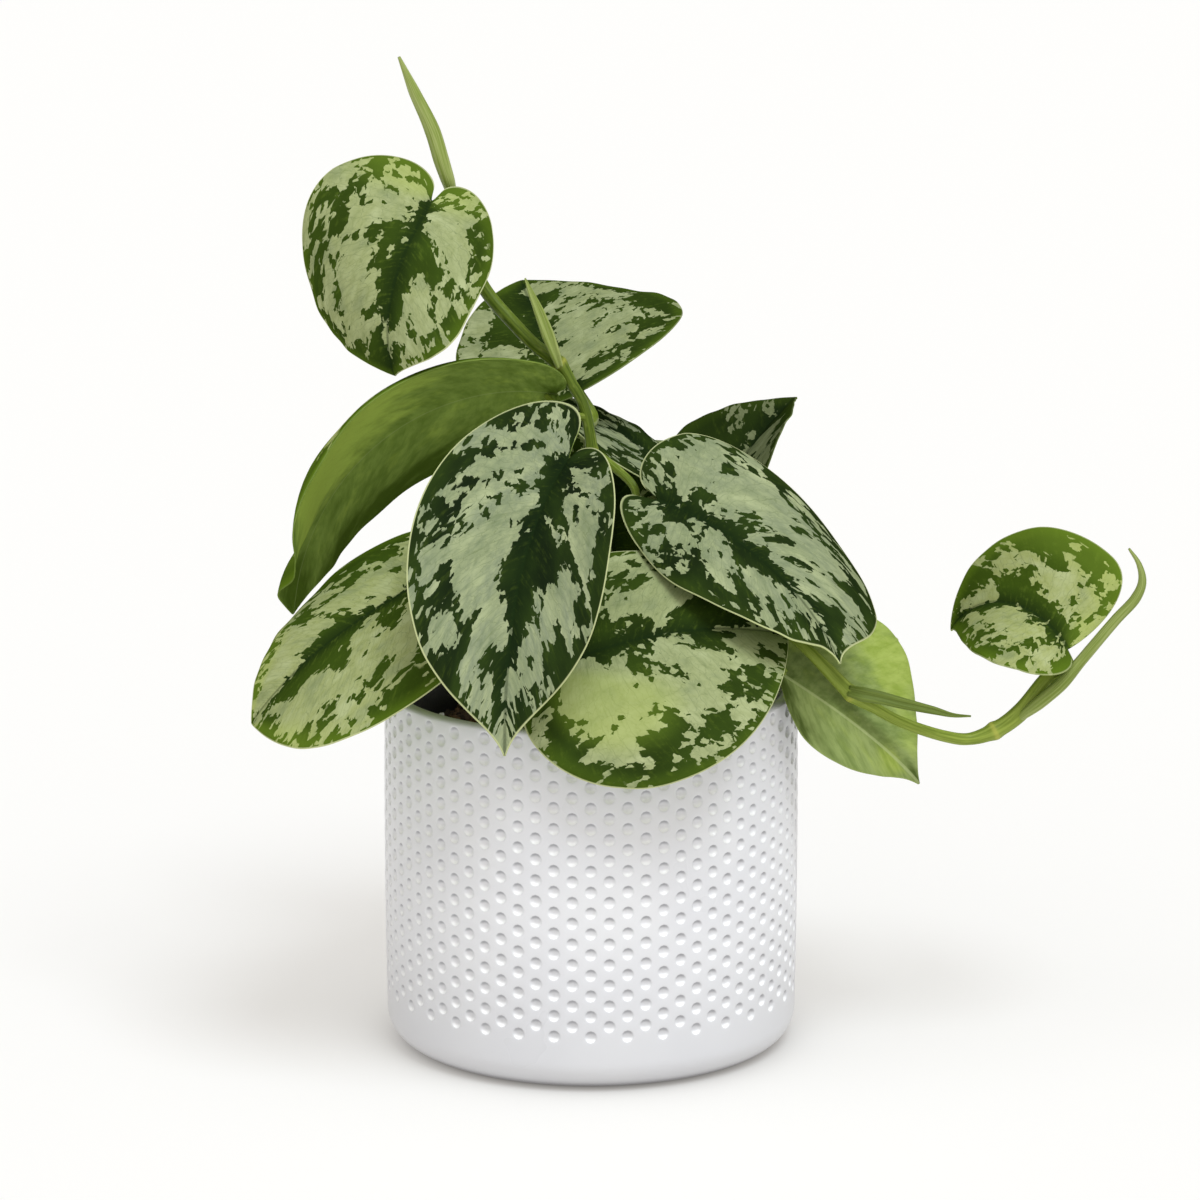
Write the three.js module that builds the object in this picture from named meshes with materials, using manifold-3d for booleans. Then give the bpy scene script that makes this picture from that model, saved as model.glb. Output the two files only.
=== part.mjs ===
// A satin pothos in its dimpled ceramic pot. Millimetres, +Z up.
// The origin is the centre of the pot's flat base, and -Y is the front.
// Each leaf blade, stem, sheath and vessel is one named mesh.
import * as THREE from 'three';
import { mergeVertices } from 'three/addons/utils/BufferGeometryUtils.js';
import Module from 'manifold-3d';

const wasm = await Module();
wasm.setup();

// ---------- driving dimensions ----------
const POT_RADIUS = 65;
const POT_HEIGHT = 114;
const POT_WALL = 4.2;
const POT_FLOOR = 5;
const POT_SWELL = 0.5;
const POT_SWELL_Z = 60;
const SHOULDER_Z = 10;
const LIP_ROUND = 2.4;
const LIP_BEVEL = 0.8;
const LIP_BEVEL_DROP = 0.5;
const INNER_CORNER = 5;
const FOOT_RADIUS = 54.5;
const DIMPLE_COLUMNS = 66;
const DIMPLE_ROWS = 27;
const DIMPLE_FIRST_Z = 17.5;
const DIMPLE_STEP_Z = 3.4;
const DIMPLE_DEPTH = 1;

const GROW_TOP_RADIUS = 57.5;
const GROW_BASE_RADIUS = 47;
const GROW_HEIGHT = 100;
const GROW_WALL = 1.2;
const GROW_LIP = 2;
const GROW_LIP_BAND = 6;
const GROW_SIDES = 32;

const SOIL_TOP_Z = 98;
const SOIL_CROWN = 2;
const SOIL_SLOPE = 5;
const SOIL_MOUND_RADIUS = 28;
const HOLE_GAP = 0.4;
const HOLE_DEPTH = 22;
const HOLE_SIDES = 8;

const BLADE_THICKNESS = 0.8;
const BLADE_LINES = 13;
const BLADE_CELLS = 4;
const TIP_HALF_WIDTH = 0.6;
const SEAT_GAP = 0.3;

const STEM_SIDES = 8;
const PETIOLE_SIDES = 6;
const PETIOLE_RADIUS = 1.35;
const PETIOLE_FOOT_RADIUS = 1.9;
const VINE_STEPS = 30;
const VINE_PETIOLE_STEPS = 8;
const CROWN_PETIOLE_STEPS = 12;

const DEGREE = Math.PI / 180;

// ---------- materials ----------
const finish = (color, roughness) => new THREE.MeshStandardMaterial({ color, roughness, metalness: 0 });
const GLAZE = 0xd9d9db;
const BLACK_PLASTIC = 0x1c1b19;
const SOIL = 0x2c231b;
const STEM_GREEN = 0x6f8c3a;
const SHEATH_GREEN = 0x8aa350;
const BLADE_GREEN = 0x6e8a56;
const UNDERSIDE_GREEN = 0x5c8236;

// ---------- leaves ----------
// base: point where the petiole meets the blade. heading: compass direction of the midrib,
// counterclockwise from +X. turn: change of heading to the tip. pitch and roll run from base to tip.
// left and right are the half widths seen from above, looking from base to tip.
// lobe: how far each basal lobe reaches behind the base. widest: distance from the base to the
// widest place. fullness: how blunt the far half is. fold: how far both halves rise from the
// midrib. curl: how far each half bends down again at its widest. shoulder: squareness of a lobe.
// drip: how much the margin sweeps in to a drawn-out tip.
const LEAVES = [
  {
    name: 'leaf_top_left', base: [-48.3, -8, 267.4], heading: -113, turn: -53, pitch: [-29, -108],
    roll: [26, 18], length: 60, width: [27, 39], lobe: [12.8, 12.5], widest: 23.3, fullness: 1.87,
    fold: 9, curl: [42, 40], shoulder: [0.9, 1.08],
  },
  {
    name: 'leaf_upper_back', base: [-3.6, 20, 202.9], heading: 110, turn: -16, pitch: [22, 2],
    roll: [34, 7], length: 98, width: [32.5, 44.5], lobe: [1.3, 1.3], widest: 40, fullness: 0.4,
    fold: 3, curl: [29, 30], shoulder: [0.75, 1.02],
  },
  {
    name: 'leaf_arching', base: [-10.4, 4.8, 205.4], heading: 161, turn: 51, pitch: [6, -85],
    roll: [-47, -53], length: 123, width: [49.5, 38], lobe: [6, 1], widest: 46.5, fullness: 1.62,
    fold: -5, curl: [45, -30], shoulder: [1.1, 1], underside: true,
  },
  {
    name: 'leaf_low_left', base: [-39.4, -34, 160.2], heading: 200, turn: -45, pitch: [-21, -54],
    roll: [26, 41], length: 85, width: [42.5, 27.5], lobe: [8, 7.8], widest: 37.5, fullness: 1.16,
    fold: 17, curl: [39, 45], shoulder: [1, 1],
  },
  {
    name: 'leaf_front', base: [-6.9, -50, 195.4], heading: -129, turn: 31, pitch: [-40, -89],
    roll: [-4, 14], length: 95, width: [28.3, 35.3], lobe: [6, 22.5], widest: 30.7, fullness: 0.5,
    fold: 7, curl: [5, -40], shoulder: [0.95, 0.97], drip: 0.2,
  },
  {
    name: 'leaf_over_rim', base: [-5.4, -57.8, 135.2], heading: 0, turn: 33, pitch: [23, -18],
    roll: [-47, -27], length: 70.6, width: [31.4, 48], lobe: [9.9, 24.7], widest: 18.7, fullness: 0.97,
    fold: 8, curl: [7, 44], shoulder: [1, 0.88],
  },
  {
    name: 'leaf_right_front', base: [20.4, -22, 177.2], heading: -9, turn: -47, pitch: [-19, -48],
    roll: [-46, 16], length: 80, width: [35.3, 28], lobe: [10.8, 15.2], widest: 30.6, fullness: 1.15,
    fold: 14, curl: [40, 36], shoulder: [0.98, 0.65], drip: 0.4,
  },
  {
    name: 'leaf_back_right', base: [38.7, 28, 160.5], heading: 67, turn: -19, pitch: [40, 23],
    roll: [-1, 11], length: 60, width: [23.6, 19.7], lobe: [4.8, 5.1], widest: 23.7, fullness: 0.76,
    fold: 24, curl: [6, -11], shoulder: [1, 1],
  },
  {
    name: 'leaf_centre_back', base: [26.8, 14, 175.5], heading: 132, turn: -3, pitch: [29, 9],
    roll: [-7, -13], length: 60, width: [24, 16], lobe: [6, 3.5], widest: 26, fullness: 0.75,
    fold: 8, curl: [9, 30], shoulder: [1, 1],
  },
  {
    name: 'leaf_right_hanging', base: [56.3, -28.4, 124.9], heading: -4, turn: 44, pitch: [-32, -46],
    roll: [132, 84], length: 63.3, width: [13.4, 38.5], lobe: [-3.7, 3.8], widest: 25, fullness: 0.36,
    fold: 23, curl: [20, 13], shoulder: [0.66, 0.98], drip: 0.12, underside: true,
  },
  {
    name: 'leaf_far_right', base: [147.6, -17, 129.1], heading: 135, turn: -7, pitch: [46, -53],
    roll: [24, 58], length: 58, width: [23.5, 29.6], lobe: [8.5, 0.5], widest: 12.3, fullness: 0.67,
    fold: 18, curl: [30, 12], shoulder: [0.95, 0.74],
  },
  {
    name: 'leaf_rear_left', base: [-16, 26, 138], heading: 138, turn: 14, pitch: [14, -62],
    roll: [6, 4], length: 82, width: [30, 32], lobe: [10, 10], widest: 33, fullness: 0.8,
    fold: 10, curl: [20, 20], shoulder: [1, 1],
  },
  {
    name: 'leaf_rear_middle', base: [7, 30, 148], heading: 84, turn: -10, pitch: [74, -45],
    roll: [-4, -6], length: 84, width: [31, 31], lobe: [10, 10], widest: 34, fullness: 0.8,
    fold: 10, curl: [22, 22], shoulder: [1, 1],
  },
  {
    name: 'leaf_rear_right', base: [40, 18, 132], heading: 34, turn: 10, pitch: [12, -58],
    roll: [-4, 4], length: 78, width: [29, 29], lobe: [9, 9], widest: 32, fullness: 0.8,
    fold: 10, curl: [20, 20], shoulder: [1, 1],
  },
];

// ---------- stems ----------
// Routes are points of one smooth curve from the foot upwards, with a radius at each.
const CLIMBING_VINE = [
  { at: [2, 6, 76.6], radius: 1.9 }, { at: [2, 6, 100], radius: 1.9 },
  { at: [1.8, 5.4, 125], radius: 1.8 }, { at: [1, 4, 158], radius: 1.7 },
  { at: [0.3, 3, 187.5], radius: 1.8 }, { at: [-2.5, 2, 202.2], radius: 1.75 },
  { at: [-5.9, 1, 208.7], radius: 1.8 }, { at: [-9.9, 0, 215.1], radius: 2.3 },
  { at: [-17.3, 1, 220.9], radius: 2 }, { at: [-23.4, 2, 227], radius: 2.1 },
  { at: [-33, 6, 237.9], radius: 2.1 }, { at: [-38.3, 9, 249.9], radius: 2 },
  { at: [-41.3, 8, 261.2], radius: 1.9 }, { at: [-42.4, 6.1, 265.8], radius: 2.1 },
  { at: [-43, 5, 268.5], radius: 2.1 },
];
const TRAILING_VINE = [
  { at: [26, -8, 76.6], radius: 1.9 }, { at: [26, -8, 100], radius: 1.9 },
  { at: [26.4, -8.2, 106], radius: 1.9 }, { at: [33, -11, 123], radius: 1.8 },
  { at: [44, -14.5, 134], radius: 1.8 }, { at: [53.7, -17, 137.3], radius: 1.8 },
  { at: [60.5, -21, 135], radius: 1.8 }, { at: [66.5, -25, 130.7], radius: 1.9 },
  { at: [72.6, -26.5, 124.7], radius: 2.1 }, { at: [80.4, -26.5, 116.8], radius: 2.4 },
  { at: [87.6, -25.5, 112.1], radius: 1.8 }, { at: [95.1, -24, 107.6], radius: 1.7 },
  { at: [109.3, -20.5, 101.9], radius: 1.8 }, { at: [117.3, -17.5, 100.2], radius: 1.9 },
  { at: [125.1, -16.5, 102.5], radius: 2.6 }, { at: [132.8, -15.2, 107.7], radius: 2.8 },
  { at: [140.6, -13, 117.1], radius: 2.5 },
];

// Papery sheaths and rolled new leaves, from the node that carries them to their tip.
const CLIMBING_SHEATH = [
  { at: [-9.2, -4.1, 213.6], radius: 1.5 }, { at: [-14.1, -4.2, 226.4], radius: 1.6 },
  { at: [-17.8, -3.6, 235.6], radius: 1.1 }, { at: [-20.2, -3, 241.7], radius: 0.5 },
];
const CLIMBING_SPIKE = [
  { at: [-43.1, 4.8, 269], radius: 1.9 }, { at: [-43.8, 3.6, 271.8], radius: 2.2 },
  { at: [-45.6, 2.6, 278], radius: 2.4 },
  { at: [-48.3, 2, 287.4], radius: 2.3 }, { at: [-53.9, 0, 299.9], radius: 1.7 },
  { at: [-58.3, -2, 310.2], radius: 0.5 },
];
const TRAILING_SHEATH = [
  { at: [80.5, -30.5, 118.2], radius: 1.3 }, { at: [86.3, -30.6, 116.8], radius: 1.4 },
  { at: [94.7, -30.2, 114.9], radius: 1.2 }, { at: [104.3, -29.4, 112.4], radius: 0.8 },
  { at: [115.8, -28.4, 109.6], radius: 0.4 },
];
const TRAILING_SPIKE = [
  { at: [137.9, -18.9, 111.6], radius: 1.7 }, { at: [145.7, -19, 118], radius: 1.9 },
  { at: [151.2, -18.5, 125], radius: 1.8 }, { at: [162.1, -17, 138], radius: 1.7 },
  { at: [168.2, -16, 144.7], radius: 1.7 }, { at: [170.1, -15.5, 149.7], radius: 1.4 },
  { at: [169, -15, 155.2], radius: 0.9 }, { at: [165.8, -15, 160.1], radius: 0.4 },
];

// Petioles that leave a vine: where they start on it, and points on the way to the blade.
const VINE_PETIOLES = {
  climbing_vine: [
    { leaf: 'leaf_top_left', start: [-42, 6.8, 264.3], via: [] },
    { leaf: 'leaf_upper_back', start: [-0.9, 2.7, 195], via: [[0.6, 10, 194.5]] },
    { leaf: 'leaf_arching', start: [-1.4, 2.4, 198], via: [] },
    { leaf: 'leaf_right_front', start: [0.3, 3, 187.5], via: [[6, -7, 184.8], [13, -15, 179.6]] },
  ],
  trailing_vine: [
    { leaf: 'leaf_right_hanging', start: [50.5, -16.2, 136.8], via: [] },
    { leaf: 'leaf_far_right', start: [140, -13.2, 116.4], via: [] },
  ],
};

// Petioles that come out of the soil by themselves: their foot and points on the way up.
const CROWN_PETIOLES = [
  { leaf: 'leaf_low_left', foot: [-20, -12], via: [[-24, -17, 132]] },
  { leaf: 'leaf_front', foot: [-4, -16], via: [[-3, -20, 135], [-3, -29, 165]] },
  { leaf: 'leaf_over_rim', foot: [-10, -36], via: [] },
  { leaf: 'leaf_centre_back', foot: [27, 2], via: [[31, 5, 135]] },
  { leaf: 'leaf_back_right', foot: [22, 30], via: [[25, 35, 140]] },
  { leaf: 'leaf_rear_left', foot: [-18, 14], via: [] },
  { leaf: 'leaf_rear_middle', foot: [2, 24], via: [] },
  { leaf: 'leaf_rear_right', foot: [18, 10], via: [] },
];

// ---------- surfaces built point by point ----------
class Skin {
  constructor() {
    this.points = [];
    this.faces = [];
  }

  add(point) {
    this.points.push(point.x, point.y, point.z);
    return this.points.length / 3 - 1;
  }

  // Points round the Z axis, counterclockwise from above.
  ring(radius, z, count) {
    const turn = 2 * Math.PI / count;
    return Array.from({ length: count }, (_, i) => this.add(
      new THREE.Vector3(radius * Math.cos(i * turn), radius * Math.sin(i * turn), z)));
  }

  face(a, b, c) {
    this.faces.push(a, b, c);
  }

  // Quads from one closed ring to the next one along the surface.
  bridge(from, to) {
    from.forEach((a, i) => {
      const next = (i + 1) % from.length;
      this.face(a, from[next], to[next]);
      this.face(a, to[next], to[i]);
    });
  }

  // A fan that closes the surface before its first ring or after its last.
  close(ring, centre, before) {
    const hub = this.add(centre);
    ring.forEach((a, i) => {
      const b = ring[(i + 1) % ring.length];
      if (before) this.face(hub, b, a);
      else this.face(hub, a, b);
    });
  }

  geometry() {
    const geometry = new THREE.BufferGeometry();
    geometry.setAttribute('position', new THREE.Float32BufferAttribute(this.points, 3));
    geometry.setIndex(this.faces);
    return geometry;
  }
}

// ---------- booleans ----------
function toSolid(geometry) {
  const bare = geometry.clone();
  bare.deleteAttribute('normal');
  bare.deleteAttribute('uv');
  const merged = mergeVertices(bare, 1e-4);
  return new wasm.Manifold(new wasm.Mesh({
    numProp: 3,
    vertProperties: new Float32Array(merged.attributes.position.array),
    triVerts: new Uint32Array(merged.index.array),
  }));
}

function fromSolid(solid) {
  const mesh = solid.getMesh();
  const geometry = new THREE.BufferGeometry();
  geometry.setAttribute('position', new THREE.BufferAttribute(mesh.vertProperties, 3));
  geometry.setIndex(new THREE.BufferAttribute(mesh.triVerts, 1));
  return geometry;
}

// ---------- the leaf blade ----------
const mix = (pair, share) => pair[0] + (pair[1] - pair[0]) * share;

// The frame of the midrib at a share of its length.
function midribAxes(leaf, share) {
  const heading = (leaf.heading + leaf.turn * share) * DEGREE;
  const pitch = mix(leaf.pitch, share) * DEGREE;
  const roll = mix(leaf.roll, share) * DEGREE;
  const along = new THREE.Vector3(
    Math.cos(pitch) * Math.cos(heading), Math.cos(pitch) * Math.sin(heading), Math.sin(pitch));
  const level = new THREE.Vector3(Math.sin(heading), -Math.cos(heading), 0);
  const up = level.clone().cross(along);
  const right = level.clone().multiplyScalar(Math.cos(roll)).addScaledVector(up, Math.sin(roll));
  const normal = up.multiplyScalar(Math.cos(roll)).addScaledVector(level, -Math.sin(roll));
  return { along, right, normal };
}

// The midrib as points at even steps, found by adding up its directions.
const MIDRIB_STEPS = 64;
function midribPoints(leaf) {
  const points = [new THREE.Vector3(...leaf.base)];
  for (let i = 0; i < MIDRIB_STEPS; i += 1) {
    const { along } = midribAxes(leaf, (i + 0.5) / MIDRIB_STEPS);
    points.push(points[i].clone().addScaledVector(along, leaf.length / MIDRIB_STEPS));
  }
  return points;
}

function midribPoint(points, share) {
  const place = Math.min(Math.max(share, 0), 1) * MIDRIB_STEPS;
  const i = Math.min(Math.floor(place), MIDRIB_STEPS - 1);
  return points[i].clone().lerp(points[i + 1], place - i);
}

// The margin of one half, flat: (along, across) from the notch, 0, to the tip, 1.
const MARGIN_BREAK = 0.42;
function flatMargin(leaf, half, place) {
  const width = leaf.width[half];
  const lobe = leaf.lobe[half];
  const { length, widest, fullness, drip = 0 } = leaf;
  const far = length - widest;
  const basal = new THREE.CubicBezierCurve(
    new THREE.Vector2(-0.35 * lobe, 0.02 * length),
    new THREE.Vector2(-1.3 * lobe, 0.1 * width),
    new THREE.Vector2(widest - leaf.shoulder[half] * (widest + lobe), width),
    new THREE.Vector2(widest, width));
  const distal = new THREE.CubicBezierCurve(
    new THREE.Vector2(widest, width),
    new THREE.Vector2(widest + far * (0.35 + 0.3 * fullness + drip), width),
    new THREE.Vector2(length - 0.25 * far, (0.2 + 0.35 * fullness - drip) * width),
    new THREE.Vector2(length, TIP_HALF_WIDTH));
  if (place <= MARGIN_BREAK) return basal.getPoint(place / MARGIN_BREAK);
  return distal.getPoint((place - MARGIN_BREAK) / (1 - MARGIN_BREAK));
}

// A point of the upper face and the normal there, from its flat place.
function bladeSurface(leaf, midrib, half, along, across) {
  const width = leaf.width[half];
  const side = half === 0 ? -1 : 1;
  const share = Math.min(Math.max(along / leaf.length, 0), 1);
  const axes = midribAxes(leaf, share);
  const fold = leaf.fold * DEGREE;
  const curl = leaf.curl[half] * DEGREE;
  const slope = fold - curl * across / width;
  const lateral = (Math.sin(fold) - Math.sin(slope)) / curl * width;
  const rise = (Math.cos(slope) - Math.cos(fold)) / curl * width;
  const point = midribPoint(midrib, share)
    .addScaledVector(axes.along, along - share * leaf.length)
    .addScaledVector(axes.right, side * lateral)
    .addScaledVector(axes.normal, rise);
  return { point, axes, slope, side };
}

const SLOPE_STEP = 0.4;
function bladePoint(leaf, midrib, half, along, across) {
  const here = bladeSurface(leaf, midrib, half, along, across).point;
  const ahead = bladeSurface(leaf, midrib, half, along + SLOPE_STEP, across).point;
  const behind = bladeSurface(leaf, midrib, half, along - SLOPE_STEP, across).point;
  const outer = bladeSurface(leaf, midrib, half, along, across + SLOPE_STEP);
  const inner = bladeSurface(leaf, midrib, half, along, Math.max(across - SLOPE_STEP, 0));
  const lengthwise = ahead.sub(behind);
  const sideways = outer.point.sub(inner.point).multiplyScalar(outer.side);
  const normal = sideways.cross(lengthwise).normalize();
  return { point: here, normal };
}

function bladeGeometry(leaf) {
  const midrib = midribPoints(leaf);
  const skin = new Skin();
  const top = [[], []];
  const bottom = [[], []];
  for (let half = 0; half < 2; half += 1) {
    for (let i = 0; i <= BLADE_LINES; i += 1) {
      const share = i / BLADE_LINES;
      const edge = flatMargin(leaf, half, share ** 0.9);
      const root = share ** 1.35 * leaf.length;
      top[half].push([]);
      bottom[half].push([]);
      for (let j = 0; j <= BLADE_CELLS; j += 1) {
        if (half === 1 && j === 0) {
          top[1][i].push(top[0][i][0]);
          bottom[1][i].push(bottom[0][i][0]);
          continue;
        }
        const out = j / BLADE_CELLS;
        const along = root + (edge.x - root) * out ** 1.4;
        const place = bladePoint(leaf, midrib, half, along, edge.y * out);
        const normal = j === 0 ? midribAxes(leaf, along / leaf.length).normal : place.normal;
        top[half][i].push(skin.add(place.point));
        bottom[half][i].push(skin.add(place.point.clone().addScaledVector(normal, -BLADE_THICKNESS)));
      }
    }
  }
  for (let half = 0; half < 2; half += 1) {
    for (let i = 0; i < BLADE_LINES; i += 1) {
      for (let j = 0; j < BLADE_CELLS; j += 1) {
        const corners = [[i, j], [i, j + 1], [i + 1, j], [i + 1, j + 1]];
        const [a, b, c, d] = corners.map(([p, q]) => top[half][p][q]);
        const [e, f, g, h] = corners.map(([p, q]) => bottom[half][p][q]);
        if (half === 1) {
          skin.face(a, b, d);
          skin.face(a, d, c);
          skin.face(e, h, f);
          skin.face(e, g, h);
        } else {
          skin.face(a, d, b);
          skin.face(a, c, d);
          skin.face(e, f, h);
          skin.face(e, h, g);
        }
      }
    }
  }
  const rim = bladeRim();
  rim.forEach(([half, i, j], k) => {
    const [nextHalf, nextI, nextJ] = rim[(k + 1) % rim.length];
    const p = top[half][i][j];
    const q = top[nextHalf][nextI][nextJ];
    const pLow = bottom[half][i][j];
    const qLow = bottom[nextHalf][nextI][nextJ];
    skin.face(p, pLow, qLow);
    skin.face(p, qLow, q);
  });
  return skin.geometry();
}

// Grid places round the blade's edge, counterclockwise seen from above.
function bladeRim() {
  const rim = [];
  for (let j = 0; j <= BLADE_CELLS; j += 1) rim.push([1, 0, j]);
  for (let i = 1; i <= BLADE_LINES; i += 1) rim.push([1, i, BLADE_CELLS]);
  for (let j = BLADE_CELLS - 1; j >= 0; j -= 1) rim.push([1, BLADE_LINES, j]);
  for (let j = 1; j <= BLADE_CELLS; j += 1) rim.push([0, BLADE_LINES, j]);
  for (let i = BLADE_LINES - 1; i >= 0; i -= 1) rim.push([0, i, BLADE_CELLS]);
  for (let j = BLADE_CELLS - 1; j >= 1; j -= 1) rim.push([0, 0, j]);
  return rim;
}

// ---------- tubes ----------
// A tapered round tube along a smooth route of { at, radius }.
function taperedTube(route, sides, steps) {
  const curve = new THREE.CatmullRomCurve3(
    route.map(({ at }) => new THREE.Vector3(...at)), false, 'centripetal');
  const frames = curve.computeFrenetFrames(steps, false);
  const skin = new Skin();
  const rings = [];
  for (let i = 0; i <= steps; i += 1) {
    const share = curve.getUtoTmapping(i / steps);
    const place = share * (route.length - 1);
    const k = Math.min(Math.floor(place), route.length - 2);
    const radius = THREE.MathUtils.lerp(route[k].radius, route[k + 1].radius, place - k);
    const centre = curve.getPoint(share);
    rings.push(Array.from({ length: sides }, (_, j) => {
      const turn = 2 * Math.PI * j / sides;
      return skin.add(centre.clone()
        .addScaledVector(frames.normals[i], radius * Math.cos(turn))
        .addScaledVector(frames.binormals[i], radius * Math.sin(turn)));
    }));
  }
  for (let i = 0; i < steps; i += 1) skin.bridge(rings[i], rings[i + 1]);
  skin.close(rings[0], curve.getPoint(0), true);
  skin.close(rings[steps], curve.getPoint(1), false);
  return skin.geometry();
}

// Where a petiole ends: just under the midrib, with a point of approach behind it.
const SEAT_RADIUS = 1;
const SEAT_REACH = 3;
const SEAT_BACK = 5;
const SEAT_DROP = 5;
function petioleSeat(leaf) {
  const { along, normal } = midribAxes(leaf, 0);
  const base = new THREE.Vector3(...leaf.base);
  const depth = BLADE_THICKNESS + SEAT_GAP + SEAT_RADIUS;
  const end = base.clone().addScaledVector(along, SEAT_REACH).addScaledVector(normal, -depth);
  const approach = base.clone().addScaledVector(along, -SEAT_BACK)
    .addScaledVector(normal, -depth - SEAT_DROP);
  return { end: end.toArray(), approach: approach.toArray() };
}

const leafNamed = (name) => LEAVES.find((leaf) => leaf.name === name);

function vinePetiole({ leaf, start, via }) {
  const seat = petioleSeat(leafNamed(leaf));
  const points = [start, ...via, seat.approach, seat.end];
  const last = points.length - 1;
  const route = points.map((at, i) => ({
    at, radius: THREE.MathUtils.lerp(PETIOLE_RADIUS, SEAT_RADIUS, i / last) }));
  return taperedTube(route, PETIOLE_SIDES, VINE_PETIOLE_STEPS);
}

function crownPetiole({ leaf, foot, via }) {
  const seat = petioleSeat(leafNamed(leaf));
  const points = [
    [...foot, SOIL_TOP_Z - HOLE_DEPTH + SEAT_GAP], [...foot, SOIL_TOP_Z + 3],
    [...foot, SOIL_TOP_Z + 7], ...via, seat.approach, seat.end];
  const last = points.length - 1;
  const route = points.map((at, i) => ({
    at, radius: i < 3 ? PETIOLE_FOOT_RADIUS : mix([PETIOLE_FOOT_RADIUS, SEAT_RADIUS], i / last) }));
  return taperedTube(route, PETIOLE_SIDES, CROWN_PETIOLE_STEPS);
}

function vineGeometry(name, route) {
  let solid = toSolid(taperedTube(route, STEM_SIDES, VINE_STEPS));
  VINE_PETIOLES[name].forEach((petiole) => {
    solid = solid.add(toSolid(vinePetiole(petiole)));
  });
  return fromSolid(solid);
}

// ---------- vessels ----------
// The pot's outer radius swells a little at mid height.
const potRadius = (z) => POT_RADIUS - POT_SWELL * ((z - POT_SWELL_Z) / (POT_HEIGHT - POT_SWELL_Z)) ** 2;

function potGeometry() {
  const skin = new Skin();
  const count = DIMPLE_COLUMNS;
  const shoulderRadius = potRadius(SHOULDER_Z);
  const corner = [0, 30, 60, 90].map((angle) => skin.ring(
    FOOT_RADIUS + (shoulderRadius - FOOT_RADIUS) * Math.sin(angle * DEGREE),
    SHOULDER_Z * (1 - Math.cos(angle * DEGREE)), count));
  const turn = 2 * Math.PI / count;
  const lattice = new Map();
  const latticePoint = (column, row) => {
    const c = (column + count) % count;
    const key = c + row * count;
    if (!lattice.has(key)) {
      const z = DIMPLE_FIRST_Z + row * DIMPLE_STEP_Z;
      const sunk = (c + row) % 2 === 0 ? DIMPLE_DEPTH : 0;
      const radius = potRadius(z) - sunk;
      lattice.set(key, skin.add(
        new THREE.Vector3(radius * Math.cos(c * turn), radius * Math.sin(c * turn), z)));
    }
    return lattice.get(key);
  };
  for (let row = 0; row < DIMPLE_ROWS; row += 1) {
    for (let column = row % 2; column < count; column += 2) {
      const pit = latticePoint(column, row);
      const round = [[1, 0], [0, 1], [-1, 0], [0, -1]].map(([c, r]) => latticePoint(column + c, row + r));
      round.forEach((land, k) => skin.face(pit, land, round[(k + 1) % 4]));
    }
  }
  const columns = Array.from({ length: count }, (_, column) => column);
  const lowest = columns.map((column) => latticePoint(column, column % 2 === 0 ? -1 : 0));
  const lastRow = DIMPLE_ROWS - 1;
  const highest = columns.map((column) => latticePoint(
    column, (column + lastRow) % 2 === 0 ? lastRow + 1 : lastRow));
  const topRadius = potRadius(POT_HEIGHT);
  const innerRadius = topRadius - POT_WALL;
  const lip = [
    [topRadius, LIP_ROUND], [topRadius - LIP_BEVEL, LIP_BEVEL_DROP], [topRadius - POT_WALL / 2, 0],
    [innerRadius + LIP_BEVEL, LIP_BEVEL_DROP], [innerRadius, LIP_ROUND]]
    .map(([radius, drop]) => skin.ring(radius, POT_HEIGHT - drop, count));
  const inside = [[innerRadius, POT_FLOOR + INNER_CORNER], [innerRadius - INNER_CORNER, POT_FLOOR]]
    .map(([radius, z]) => skin.ring(radius, z, count));
  const rings = [...corner, lowest];
  rings.slice(1).forEach((ring, i) => skin.bridge(rings[i], ring));
  const upper = [highest, ...lip, ...inside];
  upper.slice(1).forEach((ring, i) => skin.bridge(upper[i], ring));
  skin.close(corner[0], new THREE.Vector3(0, 0, 0), true);
  skin.close(upper[upper.length - 1], new THREE.Vector3(0, 0, POT_FLOOR), false);
  return skin.geometry();
}

// A turned solid from its profile of [radius, z], drawn with the material on its left.
function turned(profile, sides) {
  const geometry = new THREE.LatheGeometry(profile.map(([r, z]) => new THREE.Vector2(r, z)), sides);
  geometry.rotateX(Math.PI / 2);
  return geometry;
}

const growBaseZ = POT_FLOOR + SEAT_GAP;
const growTopZ = growBaseZ + GROW_HEIGHT;
const growRadius = (z) => GROW_BASE_RADIUS
  + (GROW_TOP_RADIUS - GROW_BASE_RADIUS) * (z - growBaseZ) / GROW_HEIGHT;

function growPotGeometry() {
  const lipZ = growTopZ - GROW_LIP_BAND;
  const inner = (z) => growRadius(z) - GROW_WALL;
  return turned([
    [0, growBaseZ], [GROW_BASE_RADIUS, growBaseZ], [growRadius(lipZ), lipZ],
    [growRadius(lipZ) + GROW_LIP, lipZ], [GROW_TOP_RADIUS + GROW_LIP, growTopZ],
    [inner(growTopZ), growTopZ], [inner(growBaseZ + GROW_WALL), growBaseZ + GROW_WALL],
    [0, growBaseZ + GROW_WALL],
  ], GROW_SIDES);
}

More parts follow.
